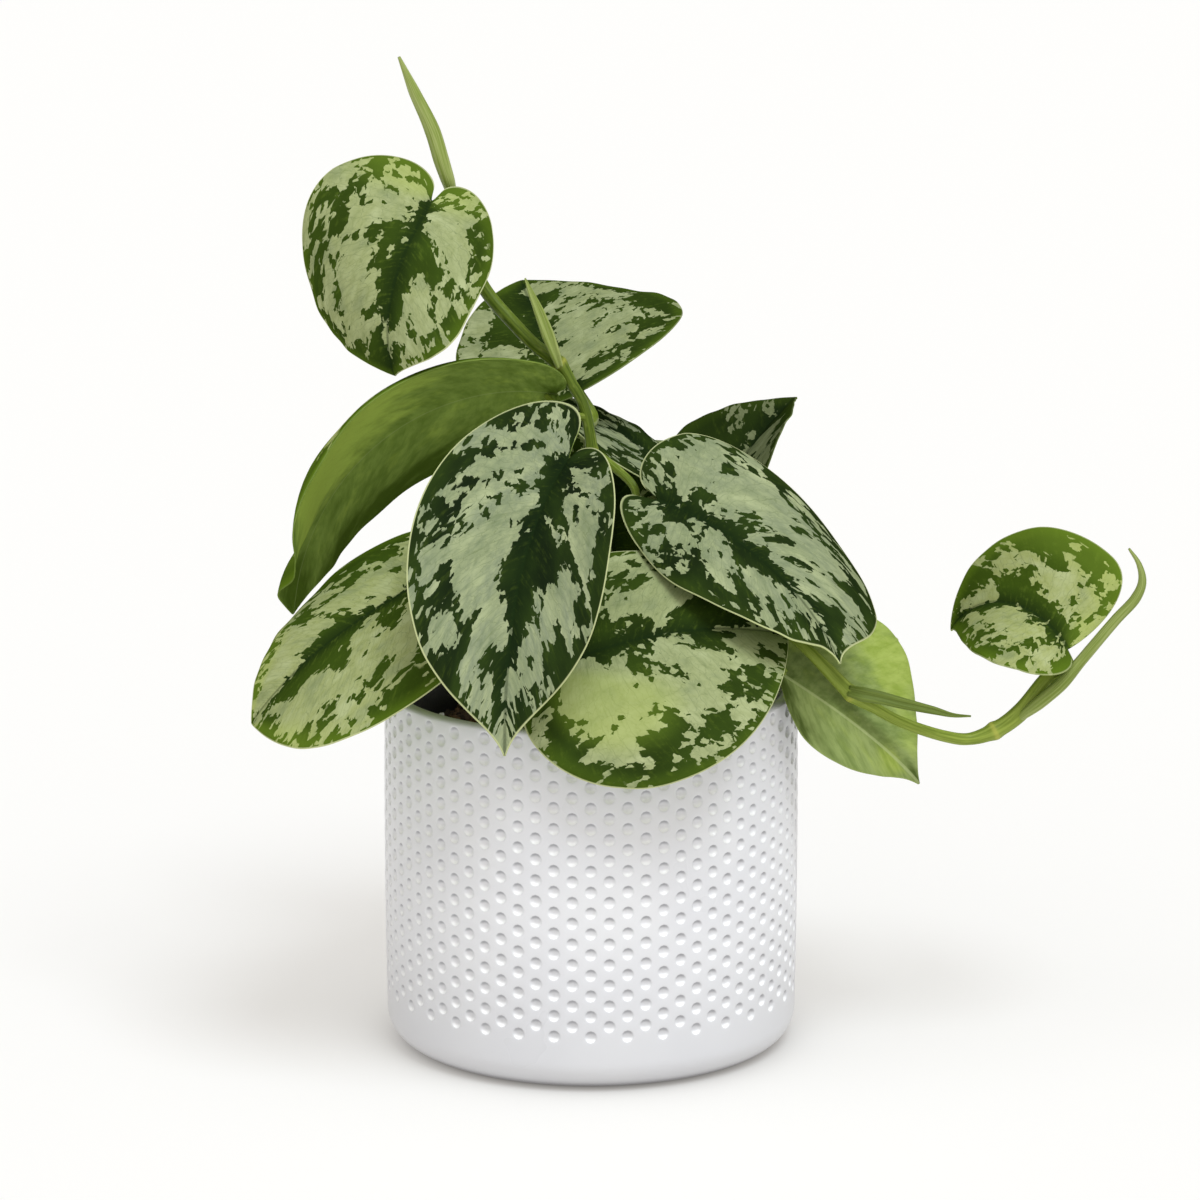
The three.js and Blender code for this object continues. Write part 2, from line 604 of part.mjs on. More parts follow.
function soilGeometry() {
  const bottomZ = growBaseZ + GROW_WALL + SEAT_GAP;
  const radius = (z) => growRadius(z) - GROW_WALL - SEAT_GAP;
  let soil = toSolid(turned([
    [0, bottomZ], [radius(bottomZ), bottomZ],
    [radius(SOIL_TOP_Z - SOIL_CROWN), SOIL_TOP_Z - SOIL_CROWN],
    [radius(SOIL_TOP_Z) - SOIL_SLOPE, SOIL_TOP_Z],
    [SOIL_MOUND_RADIUS, SOIL_TOP_Z + SOIL_CROWN * 0.7], [0, SOIL_TOP_Z + SOIL_CROWN],
  ], GROW_SIDES));
  const feet = [
    ...CROWN_PETIOLES.map(({ foot }) => [...foot, PETIOLE_FOOT_RADIUS]),
    [...CLIMBING_VINE[0].at.slice(0, 2), CLIMBING_VINE[0].radius],
    [...TRAILING_VINE[0].at.slice(0, 2), TRAILING_VINE[0].radius],
  ];
  feet.forEach(([x, y, radiusOfFoot]) => {
    const height = HOLE_DEPTH + 2 * SOIL_CROWN;
    const hole = new THREE.CylinderGeometry(
      radiusOfFoot + HOLE_GAP, radiusOfFoot + HOLE_GAP, height, HOLE_SIDES);
    hole.rotateX(Math.PI / 2);
    hole.translate(x, y, SOIL_TOP_Z - HOLE_DEPTH + height / 2);
    soil = soil.subtract(toSolid(hole));
  });
  return fromSolid(soil);
}

// ---------- the assembly ----------
const plant = new THREE.Group();

function place(name, geometry, color, roughness) {
  geometry.computeVertexNormals();
  const mesh = new THREE.Mesh(geometry, finish(color, roughness));
  mesh.name = name;
  plant.add(mesh);
}

place('ceramic_pot', potGeometry(), GLAZE, 0.35);
place('grow_pot', growPotGeometry(), BLACK_PLASTIC, 0.6);
place('potting_soil', soilGeometry(), SOIL, 0.95);
place('climbing_vine', vineGeometry('climbing_vine', CLIMBING_VINE), STEM_GREEN, 0.5);
place('trailing_vine', vineGeometry('trailing_vine', TRAILING_VINE), STEM_GREEN, 0.5);
place('climbing_sheath', taperedTube(CLIMBING_SHEATH, PETIOLE_SIDES, 6), SHEATH_GREEN, 0.6);
place('climbing_new_leaf', taperedTube(CLIMBING_SPIKE, PETIOLE_SIDES, 8), SHEATH_GREEN, 0.5);
place('trailing_sheath', taperedTube(TRAILING_SHEATH, PETIOLE_SIDES, 7), SHEATH_GREEN, 0.6);
place('trailing_new_leaf', taperedTube(TRAILING_SPIKE, PETIOLE_SIDES, 12), SHEATH_GREEN, 0.5);
CROWN_PETIOLES.forEach((petiole) => {
  const name = petiole.leaf.replace('leaf_', 'petiole_');
  place(name, crownPetiole(petiole), STEM_GREEN, 0.5);
});
LEAVES.forEach((leaf) => {
  place(leaf.name, bladeGeometry(leaf), leaf.underside ? UNDERSIDE_GREEN : BLADE_GREEN, 0.55);
});

export default plant;
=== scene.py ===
"""The looks of a potted satin pothos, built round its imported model. Blender's metres, +Z up.

The tables hold millimetres, as the model's own source does, and MM turns them into metres.
Leaves, vines, petioles and vessels follow the same formulas and routes as the model's solids, with finer
meshes.
"""
import math

import bpy
import numpy as np
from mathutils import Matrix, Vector, noise


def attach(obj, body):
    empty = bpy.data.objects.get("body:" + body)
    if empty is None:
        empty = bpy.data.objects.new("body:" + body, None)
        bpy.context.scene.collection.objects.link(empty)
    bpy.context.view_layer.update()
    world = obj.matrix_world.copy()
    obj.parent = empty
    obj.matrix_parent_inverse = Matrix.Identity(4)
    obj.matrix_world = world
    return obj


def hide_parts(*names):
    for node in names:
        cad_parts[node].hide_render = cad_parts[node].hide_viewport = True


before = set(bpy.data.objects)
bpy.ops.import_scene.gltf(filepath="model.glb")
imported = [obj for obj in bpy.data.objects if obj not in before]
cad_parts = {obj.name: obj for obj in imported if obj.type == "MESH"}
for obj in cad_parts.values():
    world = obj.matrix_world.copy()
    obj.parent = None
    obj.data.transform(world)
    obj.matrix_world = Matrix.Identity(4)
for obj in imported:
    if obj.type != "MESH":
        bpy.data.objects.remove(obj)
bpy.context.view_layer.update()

MM = 0.001
BODY = "root"

# ---------- the camera ----------
CAMERA_AT = (2.8, -1521, 486)
CAMERA_DOWN = 12.8
LENS = 150
SENSOR = 36

# ---------- vessels ----------
POT_RADIUS = 65
POT_HEIGHT = 114
POT_WALL = 4.2
POT_FLOOR = 5
POT_SWELL = 0.5
POT_SWELL_Z = 60
SHOULDER_Z = 10
FOOT_RADIUS = 54.5
FOOT_RING = 3
FOOT_RECESS = 1.2
INNER_CORNER = 5
LIP_STEPS = 10
LIP_RISE = 1.3
DIMPLE_COLUMNS = 72
DIMPLE_ROWS = 29
DIMPLE_FIRST_Z = 18.4
DIMPLE_STEP_Z = 3.28
DIMPLE_TOP_Z = 112.6
DIMPLE_RADIUS = 1.9
DIMPLE_DEPTH = 1.1

GROW_TOP_RADIUS = 57.5
GROW_BASE_RADIUS = 47
GROW_BASE_Z = 5.3
GROW_HEIGHT = 100
GROW_WALL = 1.2
GROW_LIP = 2
GROW_LIP_BAND = 6
GROW_SIDES = 120

SOIL_TOP_Z = 98
SOIL_CROWN = 2
SOIL_GAP = 0.3
SOIL_RINGS = 56
SOIL_SIDES = 128
SOIL_BUMPS = 1.3
SOIL_GRAIN = 0.32
SOIL_TONE = 0.35
CRUMBS = 1500
CRUMB_SIZES = (0.5, 1.9)
PERLITE_SIZES = (0.9, 1.7)
PERLITE_SHARE = 0.06
PERLITE_TONE = 2.0

# ---------- blades and stems ----------
MIDRIB_STEPS = 256
MARGIN_BREAK = 0.42
TIP_HALF_WIDTH = 0.25
SLOPE_STEP = 0.4
BLADE_ROWS = 128
BLADE_COLUMNS = 24
# How rows and columns crowd: along the margin, along the midrib, from midrib to margin, and between columns.
MARGIN_POWER = 0.9
MIDRIB_POWER = 1.35
SPREAD_POWER = 1.4
COLUMN_POWER = 1.2
BLADE_THICKNESS = 0.6
MARGIN_THICKNESS = 0.42
MARGIN_ROUND = 0.14
GROOVE_WIDTH = 0.9
GROOVE_DEPTH = 0.35
KEEL_DEPTH = 0.75
WAVE_HEIGHT = 0.55
# Three waves of a blade's margin: share of that height, and turns from notch to tip.
WAVES = [(0.6, 1.7), (0.5, 3.9), (0.25, 8.3)]
FIELD_LIMIT = 6.0
# How far apart the blades lie in their material's coordinates, so that no two have the same pattern.
PATTERN_SHIFT = 200
SEAT_GAP = 0.3
CAD_THICKNESS = 0.8
SEAT_RADIUS = 1
SEAT_REACH = 3
SEAT_BACK = 5
SEAT_DROP = 5
HOLE_DEPTH = 22
PETIOLE_RADIUS = 1.35
PETIOLE_FOOT_RADIUS = 1.9
STEM_SIDES = 24
ROUTE_DETAIL = 40
VINE_STEPS = 16
PETIOLE_STEPS = 36
CROWN_PETIOLE_STEPS = 64
YOUNG_STEPS = 60
NODE_WIDTH = 1.6
NODE_RING_WIDTH = 0.7

# Each blade's form, as in the model: where the petiole meets it, the midrib's compass direction and its change
# to the tip, pitch and roll from base to tip, half widths, lobes, how both halves fold and curl, and how much
# the margin sweeps in to a drawn-out tip.
LEAVES = {
    "leaf_top_left": dict(
        base=(-48.3, -8, 267.4), heading=-113, turn=-53, pitch=(-29, -108), roll=(26, 18), length=60,
        width=(27, 39), lobe=(12.8, 12.5), widest=23.3, fullness=1.87, fold=9, curl=(42, 40),
        shoulder=(0.9, 1.08)),
    "leaf_upper_back": dict(
        base=(-3.6, 20, 202.9), heading=110, turn=-16, pitch=(22, 2), roll=(34, 7), length=98,
        width=(32.5, 44.5), lobe=(1.3, 1.3), widest=40, fullness=0.4, fold=3, curl=(29, 30),
        shoulder=(0.75, 1.02)),
    "leaf_arching": dict(
        base=(-10.4, 4.8, 205.4), heading=161, turn=51, pitch=(6, -85), roll=(-47, -53), length=123,
        width=(49.5, 38), lobe=(6, 1), widest=46.5, fullness=1.62, fold=-5, curl=(45, -30), shoulder=(1.1, 1),
        underside=True),
    "leaf_low_left": dict(
        base=(-39.4, -34, 160.2), heading=200, turn=-45, pitch=(-21, -54), roll=(26, 41), length=85,
        width=(42.5, 27.5), lobe=(8, 7.8), widest=37.5, fullness=1.16, fold=17, curl=(39, 45),
        shoulder=(1, 1)),
    "leaf_front": dict(
        base=(-6.9, -50, 195.4), heading=-129, turn=31, pitch=(-40, -89), roll=(-4, 14), length=95,
        width=(28.3, 35.3), lobe=(6, 22.5), widest=30.7, fullness=0.5, fold=7, curl=(5, -40),
        shoulder=(0.95, 0.97), drip=0.2),
    "leaf_over_rim": dict(
        base=(-5.4, -57.8, 135.2), heading=0, turn=33, pitch=(23, -18), roll=(-47, -27), length=70.6,
        width=(31.4, 48), lobe=(9.9, 24.7), widest=18.7, fullness=0.97, fold=8, curl=(7, 44),
        shoulder=(1, 0.88)),
    "leaf_right_front": dict(
        base=(20.4, -22, 177.2), heading=-9, turn=-47, pitch=(-19, -48), roll=(-46, 16), length=80,
        width=(35.3, 28), lobe=(10.8, 15.2), widest=30.6, fullness=1.15, fold=14, curl=(40, 36),
        shoulder=(0.98, 0.65), drip=0.4),
    "leaf_back_right": dict(
        base=(38.7, 28, 160.5), heading=67, turn=-19, pitch=(40, 23), roll=(-1, 11), length=60,
        width=(23.6, 19.7), lobe=(4.8, 5.1), widest=23.7, fullness=0.76, fold=24, curl=(6, -11),
        shoulder=(1, 1)),
    "leaf_centre_back": dict(
        base=(26.8, 14, 175.5), heading=132, turn=-3, pitch=(29, 9), roll=(-7, -13), length=60,
        width=(24, 16), lobe=(6, 3.5), widest=26, fullness=0.75, fold=8, curl=(9, 30), shoulder=(1, 1)),
    "leaf_right_hanging": dict(
        base=(56.3, -28.4, 124.9), heading=-4, turn=44, pitch=(-32, -46), roll=(132, 84), length=63.3,
        width=(13.4, 38.5), lobe=(-3.7, 3.8), widest=25, fullness=0.36, fold=23, curl=(20, 13),
        shoulder=(0.66, 0.98), drip=0.12, underside=True),
    "leaf_far_right": dict(
        base=(147.6, -17, 129.1), heading=135, turn=-7, pitch=(46, -53), roll=(24, 58), length=58,
        width=(23.5, 29.6), lobe=(8.5, 0.5), widest=12.3, fullness=0.67, fold=18, curl=(30, 12),
        shoulder=(0.95, 0.74)),
    "leaf_rear_left": dict(
        base=(-16, 26, 138), heading=138, turn=14, pitch=(14, -62), roll=(6, 4), length=82, width=(30, 32),
        lobe=(10, 10), widest=33, fullness=0.8, fold=10, curl=(20, 20), shoulder=(1, 1)),
    "leaf_rear_middle": dict(
        base=(7, 30, 148), heading=84, turn=-10, pitch=(74, -45), roll=(-4, -6), length=84, width=(31, 31),
        lobe=(10, 10), widest=34, fullness=0.8, fold=10, curl=(22, 22), shoulder=(1, 1)),
    "leaf_rear_right": dict(
        base=(40, 18, 132), heading=34, turn=10, pitch=(12, -58), roll=(-4, 4), length=78, width=(29, 29),
        lobe=(9, 9), widest=32, fullness=0.8, fold=10, curl=(20, 20), shoulder=(1, 1)),
}
CLIMBING_VINE = [
    (2, 6, 76.6, 1.9), (2, 6, 100, 1.9), (1.8, 5.4, 125, 1.8), (1, 4, 158, 1.7),
    (0.3, 3, 187.5, 1.8), (-2.5, 2, 202.2, 1.75), (-5.9, 1, 208.7, 1.8), (-9.9, 0, 215.1, 2.3),
    (-17.3, 1, 220.9, 2), (-23.4, 2, 227, 2.1), (-33, 6, 237.9, 2.1), (-38.3, 9, 249.9, 2),
    (-41.3, 8, 261.2, 1.9), (-42.4, 6.1, 265.8, 2.1), (-43, 5, 268.5, 2.1),
]
TRAILING_VINE = [
    (26, -8, 76.6, 1.9), (26, -8, 100, 1.9), (26.4, -8.2, 106, 1.9), (33, -11, 123, 1.8),
    (44, -14.5, 134, 1.8), (53.7, -17, 137.3, 1.8), (60.5, -21, 135, 1.8), (66.5, -25, 130.7, 1.9),
    (72.6, -26.5, 124.7, 2.1), (80.4, -26.5, 116.8, 2.4), (87.6, -25.5, 112.1, 1.8), (95.1, -24, 107.6, 1.7),
    (109.3, -20.5, 101.9, 1.8), (117.3, -17.5, 100.2, 1.9), (125.1, -16.5, 102.5, 2.6),
    (132.8, -15.2, 107.7, 2.8),
    (140.6, -13, 117.1, 2.5), (144.8, -11.5, 121.8, 2.1), (147.6, -12.2, 125.4, 1.3),
]
CLIMBING_SHEATH = [
    (-9.6, -3.0, 214.6, 1.0), (-10.9, -3.9, 218.6, 1.5), (-13.2, -4.3, 225, 1.85), (-16, -4.1, 232.4, 1.45),
    (-18.4, -3.6, 238, 0.85), (-20.2, -3, 242.4, 0.25),
]
CLIMBING_SPIKE = [
    (-43.1, 4.8, 269, 1.9), (-43.8, 3.6, 271.8, 2.2), (-45.6, 2.6, 278, 2.4), (-48.3, 2, 287.4, 2.3),
    (-53.9, 0, 299.9, 1.7), (-58.3, -2, 310.2, 0.5),
]
TRAILING_SHEATH = [
    (79.2, -28.6, 118.4, 1.5), (83.2, -29.8, 117.6, 2.0), (88.6, -30.3, 116.6, 1.8), (97, -30, 114.4, 1.5),
    (105.6, -29.2, 112.2, 1.1), (111.5, -28.7, 110.6, 0.6), (117, -28.3, 110.2, 0.25),
]
TRAILING_SPIKE = [
    (131.6, -15.5, 105.4, 0.8), (134.6, -17.6, 108.4, 1.7), (138.6, -18.9, 112, 2.2), (145.7, -19, 118.4, 2.2),
    (151.2, -18.5, 125, 1.8), (162.1, -17, 138, 1.7),
    (168.2, -16, 144.7, 1.7), (170.1, -15.5, 149.7, 1.4), (169, -15, 155.2, 0.9), (165.8, -15, 160.1, 0.4),
]

# Petioles that leave a vine: their leaf, where they start, and points on the way to the blade.
CLIMBING_PETIOLES = [
    ("leaf_top_left", (-42, 6.8, 264.3), []),
    ("leaf_upper_back", (-0.9, 2.7, 195), [(0.6, 10, 194.5)]),
    ("leaf_arching", (-1.4, 2.4, 198), []),
    ("leaf_right_front", (0.3, 3, 187.5), [(6, -7, 184.8), (13, -15, 179.6)]),
]
TRAILING_PETIOLES = [
    ("leaf_right_hanging", (50.5, -16.2, 136.8), []),
    ("leaf_far_right", (140, -13.2, 116.4), []),
]
# Petioles that come out of the soil: their leaf, foot and points on the way up.
CROWN_PETIOLES = [
    ("leaf_low_left", (-20, -12), [(-24, -17, 132)]),
    ("leaf_front", (-4, -16), [(-3, -20, 135), (-3, -29, 165)]),
    ("leaf_over_rim", (-10, -36), []),
    ("leaf_centre_back", (27, 2), [(31, 5, 135)]),
    ("leaf_back_right", (22, 30), [(25, 35, 140)]),
    ("leaf_rear_left", (-18, 14), []),
    ("leaf_rear_middle", (2, 24), []),
    ("leaf_rear_right", (18, 10), []),
]
# Nodes of the vines: where the stem swells round a ring, and by how much.
CLIMBING_NODES = [
    ((-9.9, 0, 215.1), 0.5), ((0.3, 3, 187.5), 0.35), ((-42.4, 6.1, 265.8), 0.3), ((1, 4, 158), 0.3)]
TRAILING_NODES = [((80.4, -26.5, 116.8), 0.4), ((125.1, -16.5, 102.5), 0.45), ((44, -14.5, 134), 0.3)]

# How each blade is marked and toned. tone: how yellow it is, how much painted shade darkens it (below 0,
# painted light brightens its silver), and how grey it is. slant: how far its side veins lean towards the tip.
# spread: how many millimetres its silver marks are widened by. silver, dark, glow and gloom: ellipses (place
# along the blade, place from the midrib, 0, to the left margin, -1, or the right one, 1, and two half sizes).
# dark lies over silver, glow is painted light where light comes through, and gloom is painted shadow. rim: how
# clear its pale margin line is. keel: how strong its midrib is. dents: side, place, reach and height in
# millimetres.
LOOKS = {
    "leaf_top_left": dict(
        tone=(0.5, 0, 0.2), slant=0.25, spread=0.3, glow=[(0.04, -0.7, 0.12, 0.45), (0.08, 0.75, 0.12, 0.35)],
        silver=[
            (0.13, -0.7, 0.05, 0.22), (0.2, -0.55, 0.05, 0.25), (0.3, -0.5, 0.1, 0.3),
            (0.27, -0.25, 0.07, 0.14), (0.38, -0.68, 0.05, 0.14), (0.4, -0.45, 0.02, 0.1),
            (0.5, -0.6, 0.045, 0.12), (0.6, -0.5, 0.12, 0.24), (0.66, -0.3, 0.06, 0.12),
            (0.55, -0.68, 0.1, 0.08), (0.57, -0.93, 0.09, 0.04), (0.8, -0.72, 0.07, 0.2),
            (0.79, -0.42, 0.035, 0.16), (0.8, -0.15, 0.04, 0.16), (0.86, -0.1, 0.03, 0.12),
            (0.14, 0.4, 0.06, 0.24), (0.25, 0.3, 0.07, 0.2), (0.28, 0.5, 0.07, 0.16), (0.33, 0.3, 0.04, 0.2),
            (0.15, 0.75, 0.06, 0.16), (0.37, 0.52, 0.03, 0.08), (0.27, 0.85, 0.03, 0.12),
            (0.35, 0.8, 0.02, 0.14), (0.43, 0.42, 0.03, 0.12), (0.53, 0.38, 0.1, 0.2),
            (0.47, 0.12, 0.03, 0.06), (0.66, 0.38, 0.1, 0.2), (0.5, 0.66, 0.12, 0.07),
            (0.68, 0.74, 0.12, 0.09), (0.6, 0.84, 0.05, 0.07), (0.78, 0.55, 0.08, 0.26),
            (0.83, 0.75, 0.03, 0.15), (0.43, 0.88, 0.03, 0.05), (0.76, 0.17, 0.02, 0.06)],
        dark=[
            (0.28, -0.68, 0.02, 0.08), (0.25, -0.9, 0.05, 0.08), (0.36, -0.92, 0.05, 0.1),
            (0.5, -1.0, 0.12, 0.14), (0.72, -1.0, 0.15, 0.16), (0.36, -0.25, 0.03, 0.07),
            (0.44, -0.7, 0.02, 0.12), (0.45, -0.3, 0.05, 0.2), (0.58, -0.6, 0.02, 0.03),
            (0.735, -0.45, 0.025, 0.12), (0.7, -0.12, 0.1, 0.15), (0.86, -0.45, 0.02, 0.14),
            (0.89, -0.13, 0.02, 0.1), (0.35, 0, 0.35, 0.09), (0.65, 0.03, 0.2, 0.1), (0.2, 0.4, 0.03, 0.1),
            (0.13, 0.65, 0.02, 0.06), (0.17, 0.66, 0.015, 0.06), (0.3, 0.48, 0.012, 0.05),
            (0.24, 0.68, 0.02, 0.06), (0.31, 0.68, 0.03, 0.06), (0.38, 0.3, 0.03, 0.16),
            (0.38, 0.66, 0.03, 0.1), (0.5, 0.18, 0.05, 0.05), (0.63, 0.6, 0.07, 0.06),
            (0.5, 0.79, 0.07, 0.06), (0.76, 0.28, 0.03, 0.06), (0.65, 0.97, 0.25, 0.12),
            (0.86, 0.68, 0.02, 0.1), (0.3, 0.78, 0.02, 0.05), (0.22, 0.85, 0.02, 0.1), (0.95, 0.3, 0.06, 0.6),
            (0.96, -0.6, 0.06, 0.4)]),
    "leaf_upper_back": dict(
        tone=(0.4, 0.03, 0.3), slant=0.1, spread=0.7, rim=0.3,
        silver=[
            (0.19, 0.15, 0.05, 0.1), (0.28, 0.28, 0.06, 0.34), (0.36, 0.3, 0.05, 0.34),
            (0.15, 0.5, 0.025, 0.26), (0.48, 0.3, 0.1, 0.24), (0.5, 0.62, 0.09, 0.06),
            (0.62, 0.75, 0.07, 0.05), (0.65, 0.35, 0.06, 0.28), (0.7, 0.62, 0.07, 0.2),
            (0.77, 0.85, 0.05, 0.14), (0.85, 0.42, 0.06, 0.46), (0.27, 0.82, 0.015, 0.07),
            (0.35, 0.75, 0.015, 0.07), (0.62, -0.82, 0.12, 0.18), (0.25, -0.55, 0.14, 0.3),
            (0.45, -0.5, 0.05, 0.2)],
        dark=[
            (0.41, 0.37, 0.015, 0.04), (0.58, 0.45, 0.015, 0.13), (0.73, 0.22, 0.035, 0.14),
            (0.78, 0.6, 0.015, 0.12), (0.22, 0.38, 0.02, 0.16), (0.44, 0.55, 0.03, 0.03),
            (0.57, -0.7, 0.02, 0.12), (0.3, 0.8, 0.02, 0.12), (0.42, 0.78, 0.025, 0.12),
            (0.52, 0.5, 0.012, 0.1), (0.66, 0.5, 0.012, 0.14), (0.5, 0.85, 0.05, 0.08),
            (0.34, 0.52, 0.01, 0.1), (0.62, 0.16, 0.012, 0.1)]),
    "leaf_arching": dict(
        tone=(1, 0, 0), slant=0.2, keel=0.4, rim=0.1, glow=[(0.64, -0.5, 0.24, 0.36)],
        dents=[
            (-1, 0.46, 0.07, 0.3), (-1, 0.58, 0.07, 1.3), (-1, 0.7, 0.07, -2.3), (-1, 0.8, 0.07, -3.3),
            (-1, 0.89, 0.07, 1.9)],
        gloom=[(0.42, 0.9, 0.5, 0.36), (1.0, 0, 0.12, 1.2), (0.02, 0, 0.06, 1)],
        silver=[
            (0.18, -0.45, 0.1, 0.3), (0.2, 0.5, 0.1, 0.3), (0.36, -0.4, 0.11, 0.26), (0.42, 0.5, 0.1, 0.3),
            (0.57, -0.5, 0.1, 0.24), (0.63, 0.42, 0.12, 0.3), (0.76, -0.42, 0.08, 0.26),
            (0.82, 0.3, 0.08, 0.3), (0.45, -0.8, 0.06, 0.08), (0.66, -0.82, 0.05, 0.07),
            (0.9, -0.2, 0.05, 0.2)],
        dark=[
            (0.3, -0.5, 0.03, 0.1), (0.55, 0.4, 0.02, 0.15), (0.66, -0.4, 0.02, 0.14), (0.4, 0, 0.6, 0.1)]),
    "leaf_low_left": dict(
        tone=(0.65, -0.05, 0.1), slant=0.2, spread=0.9,
        glow=[(0.85, 0.9, 0.16, 0.16), (0.8, -1.0, 0.16, 0.12)],
        silver=[
            (0.18, -0.55, 0.14, 0.35), (0.18, 0.5, 0.14, 0.35), (0.42, -0.5, 0.09, 0.32),
            (0.45, -0.82, 0.03, 0.1), (0.55, -0.6, 0.1, 0.3), (0.67, -0.68, 0.14, 0.28),
            (0.8, -0.6, 0.08, 0.22), (0.85, -0.42, 0.05, 0.12), (0.5, -0.25, 0.06, 0.15),
            (0.67, -0.37, 0.03, 0.06), (0.94, -0.1, 0.03, 0.6), (0.43, 0.26, 0.12, 0.22),
            (0.35, 0.5, 0.05, 0.12), (0.47, 0.7, 0.06, 0.1), (0.63, 0.38, 0.1, 0.2), (0.74, 0.42, 0.13, 0.34),
            (0.86, 0.4, 0.08, 0.45), (0.64, 0.62, 0.07, 0.14), (0.81, 0.86, 0.06, 0.1),
            (0.56, 0.9, 0.05, 0.1)],
        dark=[
            (0.36, -0.87, 0.03, 0.14), (0.43, -0.66, 0.02, 0.08), (0.48, -0.71, 0.02, 0.06),
            (0.57, -0.73, 0.03, 0.05), (0.6, -0.86, 0.05, 0.05), (0.66, -0.96, 0.1, 0.04),
            (0.58, -0.33, 0.04, 0.12), (0.68, -0.22, 0.1, 0.15), (0.78, -0.28, 0.09, 0.22),
            (0.4, -0.2, 0.05, 0.1), (0.85, -0.75, 0.05, 0.1), (0.9, -0.55, 0.02, 0.18),
            (0.33, 0.75, 0.03, 0.2), (0.4, 0.6, 0.04, 0.08), (0.5, 0.56, 0.05, 0.05),
            (0.58, 0.6, 0.025, 0.15), (0.52, 0.82, 0.06, 0.06), (0.68, 0.84, 0.1, 0.07),
            (0.55, 0.17, 0.03, 0.14), (0.66, 0.1, 0.1, 0.1), (0.33, 0.43, 0.012, 0.03),
            (0.42, 0.18, 0.03, 0.02)]),
    "leaf_front": dict(
        tone=(0.04, 0.08, 0.6), slant=0.3,
        silver=[
            (0.19, -0.62, 0.085, 0.26), (0.33, -0.58, 0.085, 0.3), (0.41, -0.6, 0.04, 0.2),
            (0.37, -0.28, 0.02, 0.08), (0.23, -0.86, 0.05, 0.05), (0.35, -0.9, 0.02, 0.07),
            (0.465, -0.88, 0.025, 0.07), (0.45, -0.74, 0.03, 0.05), (0.57, -0.6, 0.12, 0.2),
            (0.575, -0.3, 0.03, 0.1), (0.55, -0.9, 0.02, 0.04), (0.62, -0.86, 0.04, 0.05),
            (0.72, -0.5, 0.085, 0.28), (0.755, -0.87, 0.03, 0.08), (0.79, -0.6, 0.05, 0.18),
            (0.8, -0.17, 0.02, 0.12), (0.85, -0.42, 0.065, 0.45), (0.09, 0.5, 0.06, 0.33),
            (0.2, 0.38, 0.07, 0.18), (0.27, 0.5, 0.06, 0.28), (0.31, 0.2, 0.045, 0.12),
            (0.46, 0.38, 0.14, 0.24), (0.46, 0.78, 0.03, 0.17), (0.65, 0.38, 0.12, 0.24),
            (0.62, 0.7, 0.04, 0.08), (0.58, 0.83, 0.025, 0.1), (0.345, 0.74, 0.014, 0.2),
            (0.385, 0.76, 0.012, 0.2), (0.25, 0.82, 0.03, 0.14), (0.19, 0.8, 0.03, 0.1),
            (0.13, 0.86, 0.03, 0.08), (0.71, 0.68, 0.03, 0.2), (0.8, 0.6, 0.065, 0.27),
            (0.85, 0.76, 0.03, 0.12), (0.87, 0.15, 0.03, 0.2), (0.92, 0.5, 0.025, 0.4),
            (0.7, 0.14, 0.03, 0.06), (0.96, 0.0, 0.05, 1.0)],
        dark=[
            (0.255, -0.5, 0.012, 0.16), (0.44, -0.5, 0.015, 0.2), (0.57, -0.64, 0.012, 0.05),
            (0.63, -0.75, 0.03, 0.03), (0.72, -0.48, 0.01, 0.03), (0.77, -0.38, 0.02, 0.04),
            (0.835, -0.6, 0.015, 0.16), (0.91, -0.4, 0.015, 0.25), (0.33, -0.5, 0.015, 0.04),
            (0.16, 0.38, 0.012, 0.1), (0.29, 0.42, 0.01, 0.1), (0.61, 0.43, 0.012, 0.03),
            (0.64, 0.56, 0.025, 0.04), (0.755, 0.45, 0.012, 0.16), (0.885, 0.3, 0.01, 0.28),
            (0.83, 0.7, 0.02, 0.05), (0.435, -0.62, 0.012, 0.25), (0.36, -0.96, 0.07, 0.05),
            (0.54, -0.93, 0.06, 0.07), (0.66, -0.68, 0.02, 0.08), (0.82, -0.62, 0.02, 0.12),
            (0.735, 0.45, 0.008, 0.15), (0.17, 0.75, 0.025, 0.12), (0.33, 0.7, 0.012, 0.2),
            (0.24, -0.99, 0.14, 0.14), (0.52, 0.7, 0.05, 0.06), (0.4, 0.6, 0.012, 0.12),
            (0.24, 0.9, 0.03, 0.06), (0.44, -1.0, 0.1, 0.2), (0.63, -1.0, 0.12, 0.18),
            (0.3, -1.0, 0.08, 0.16), (0.735, 0.3, 0.014, 0.3), (0.45, 0.98, 0.2, 0.1), (0.8, 0.15, 0.04, 0.2),
            (0.17, -0.2, 0.06, 0.12), (0.1, -0.5, 0.05, 0.3), (0.12, 0.15, 0.08, 0.16)]),
    "leaf_over_rim": dict(
        tone=(0.35, -0.15, 0.1), slant=0.35, spread=0.3, glow=[(0.24, 0.5, 0.16, 0.2)],
        silver=[
            (0.2, 0.42, 0.14, 0.36), (0.4, 0.4, 0.13, 0.29), (0.56, 0.4, 0.14, 0.3), (0.72, 0.45, 0.13, 0.3),
            (0.8, 0.3, 0.06, 0.25), (0.85, 0.6, 0.06, 0.4), (0.28, 0.76, 0.06, 0.2), (0.17, 0.9, 0.03, 0.1),
            (0.48, 0.68, 0.05, 0.14), (0.47, 0.9, 0.04, 0.1), (0.65, 0.86, 0.06, 0.1),
            (0.55, 0.92, 0.03, 0.05), (0.45, -0.5, 0.1, 0.34), (0.55, -0.4, 0.05, 0.24),
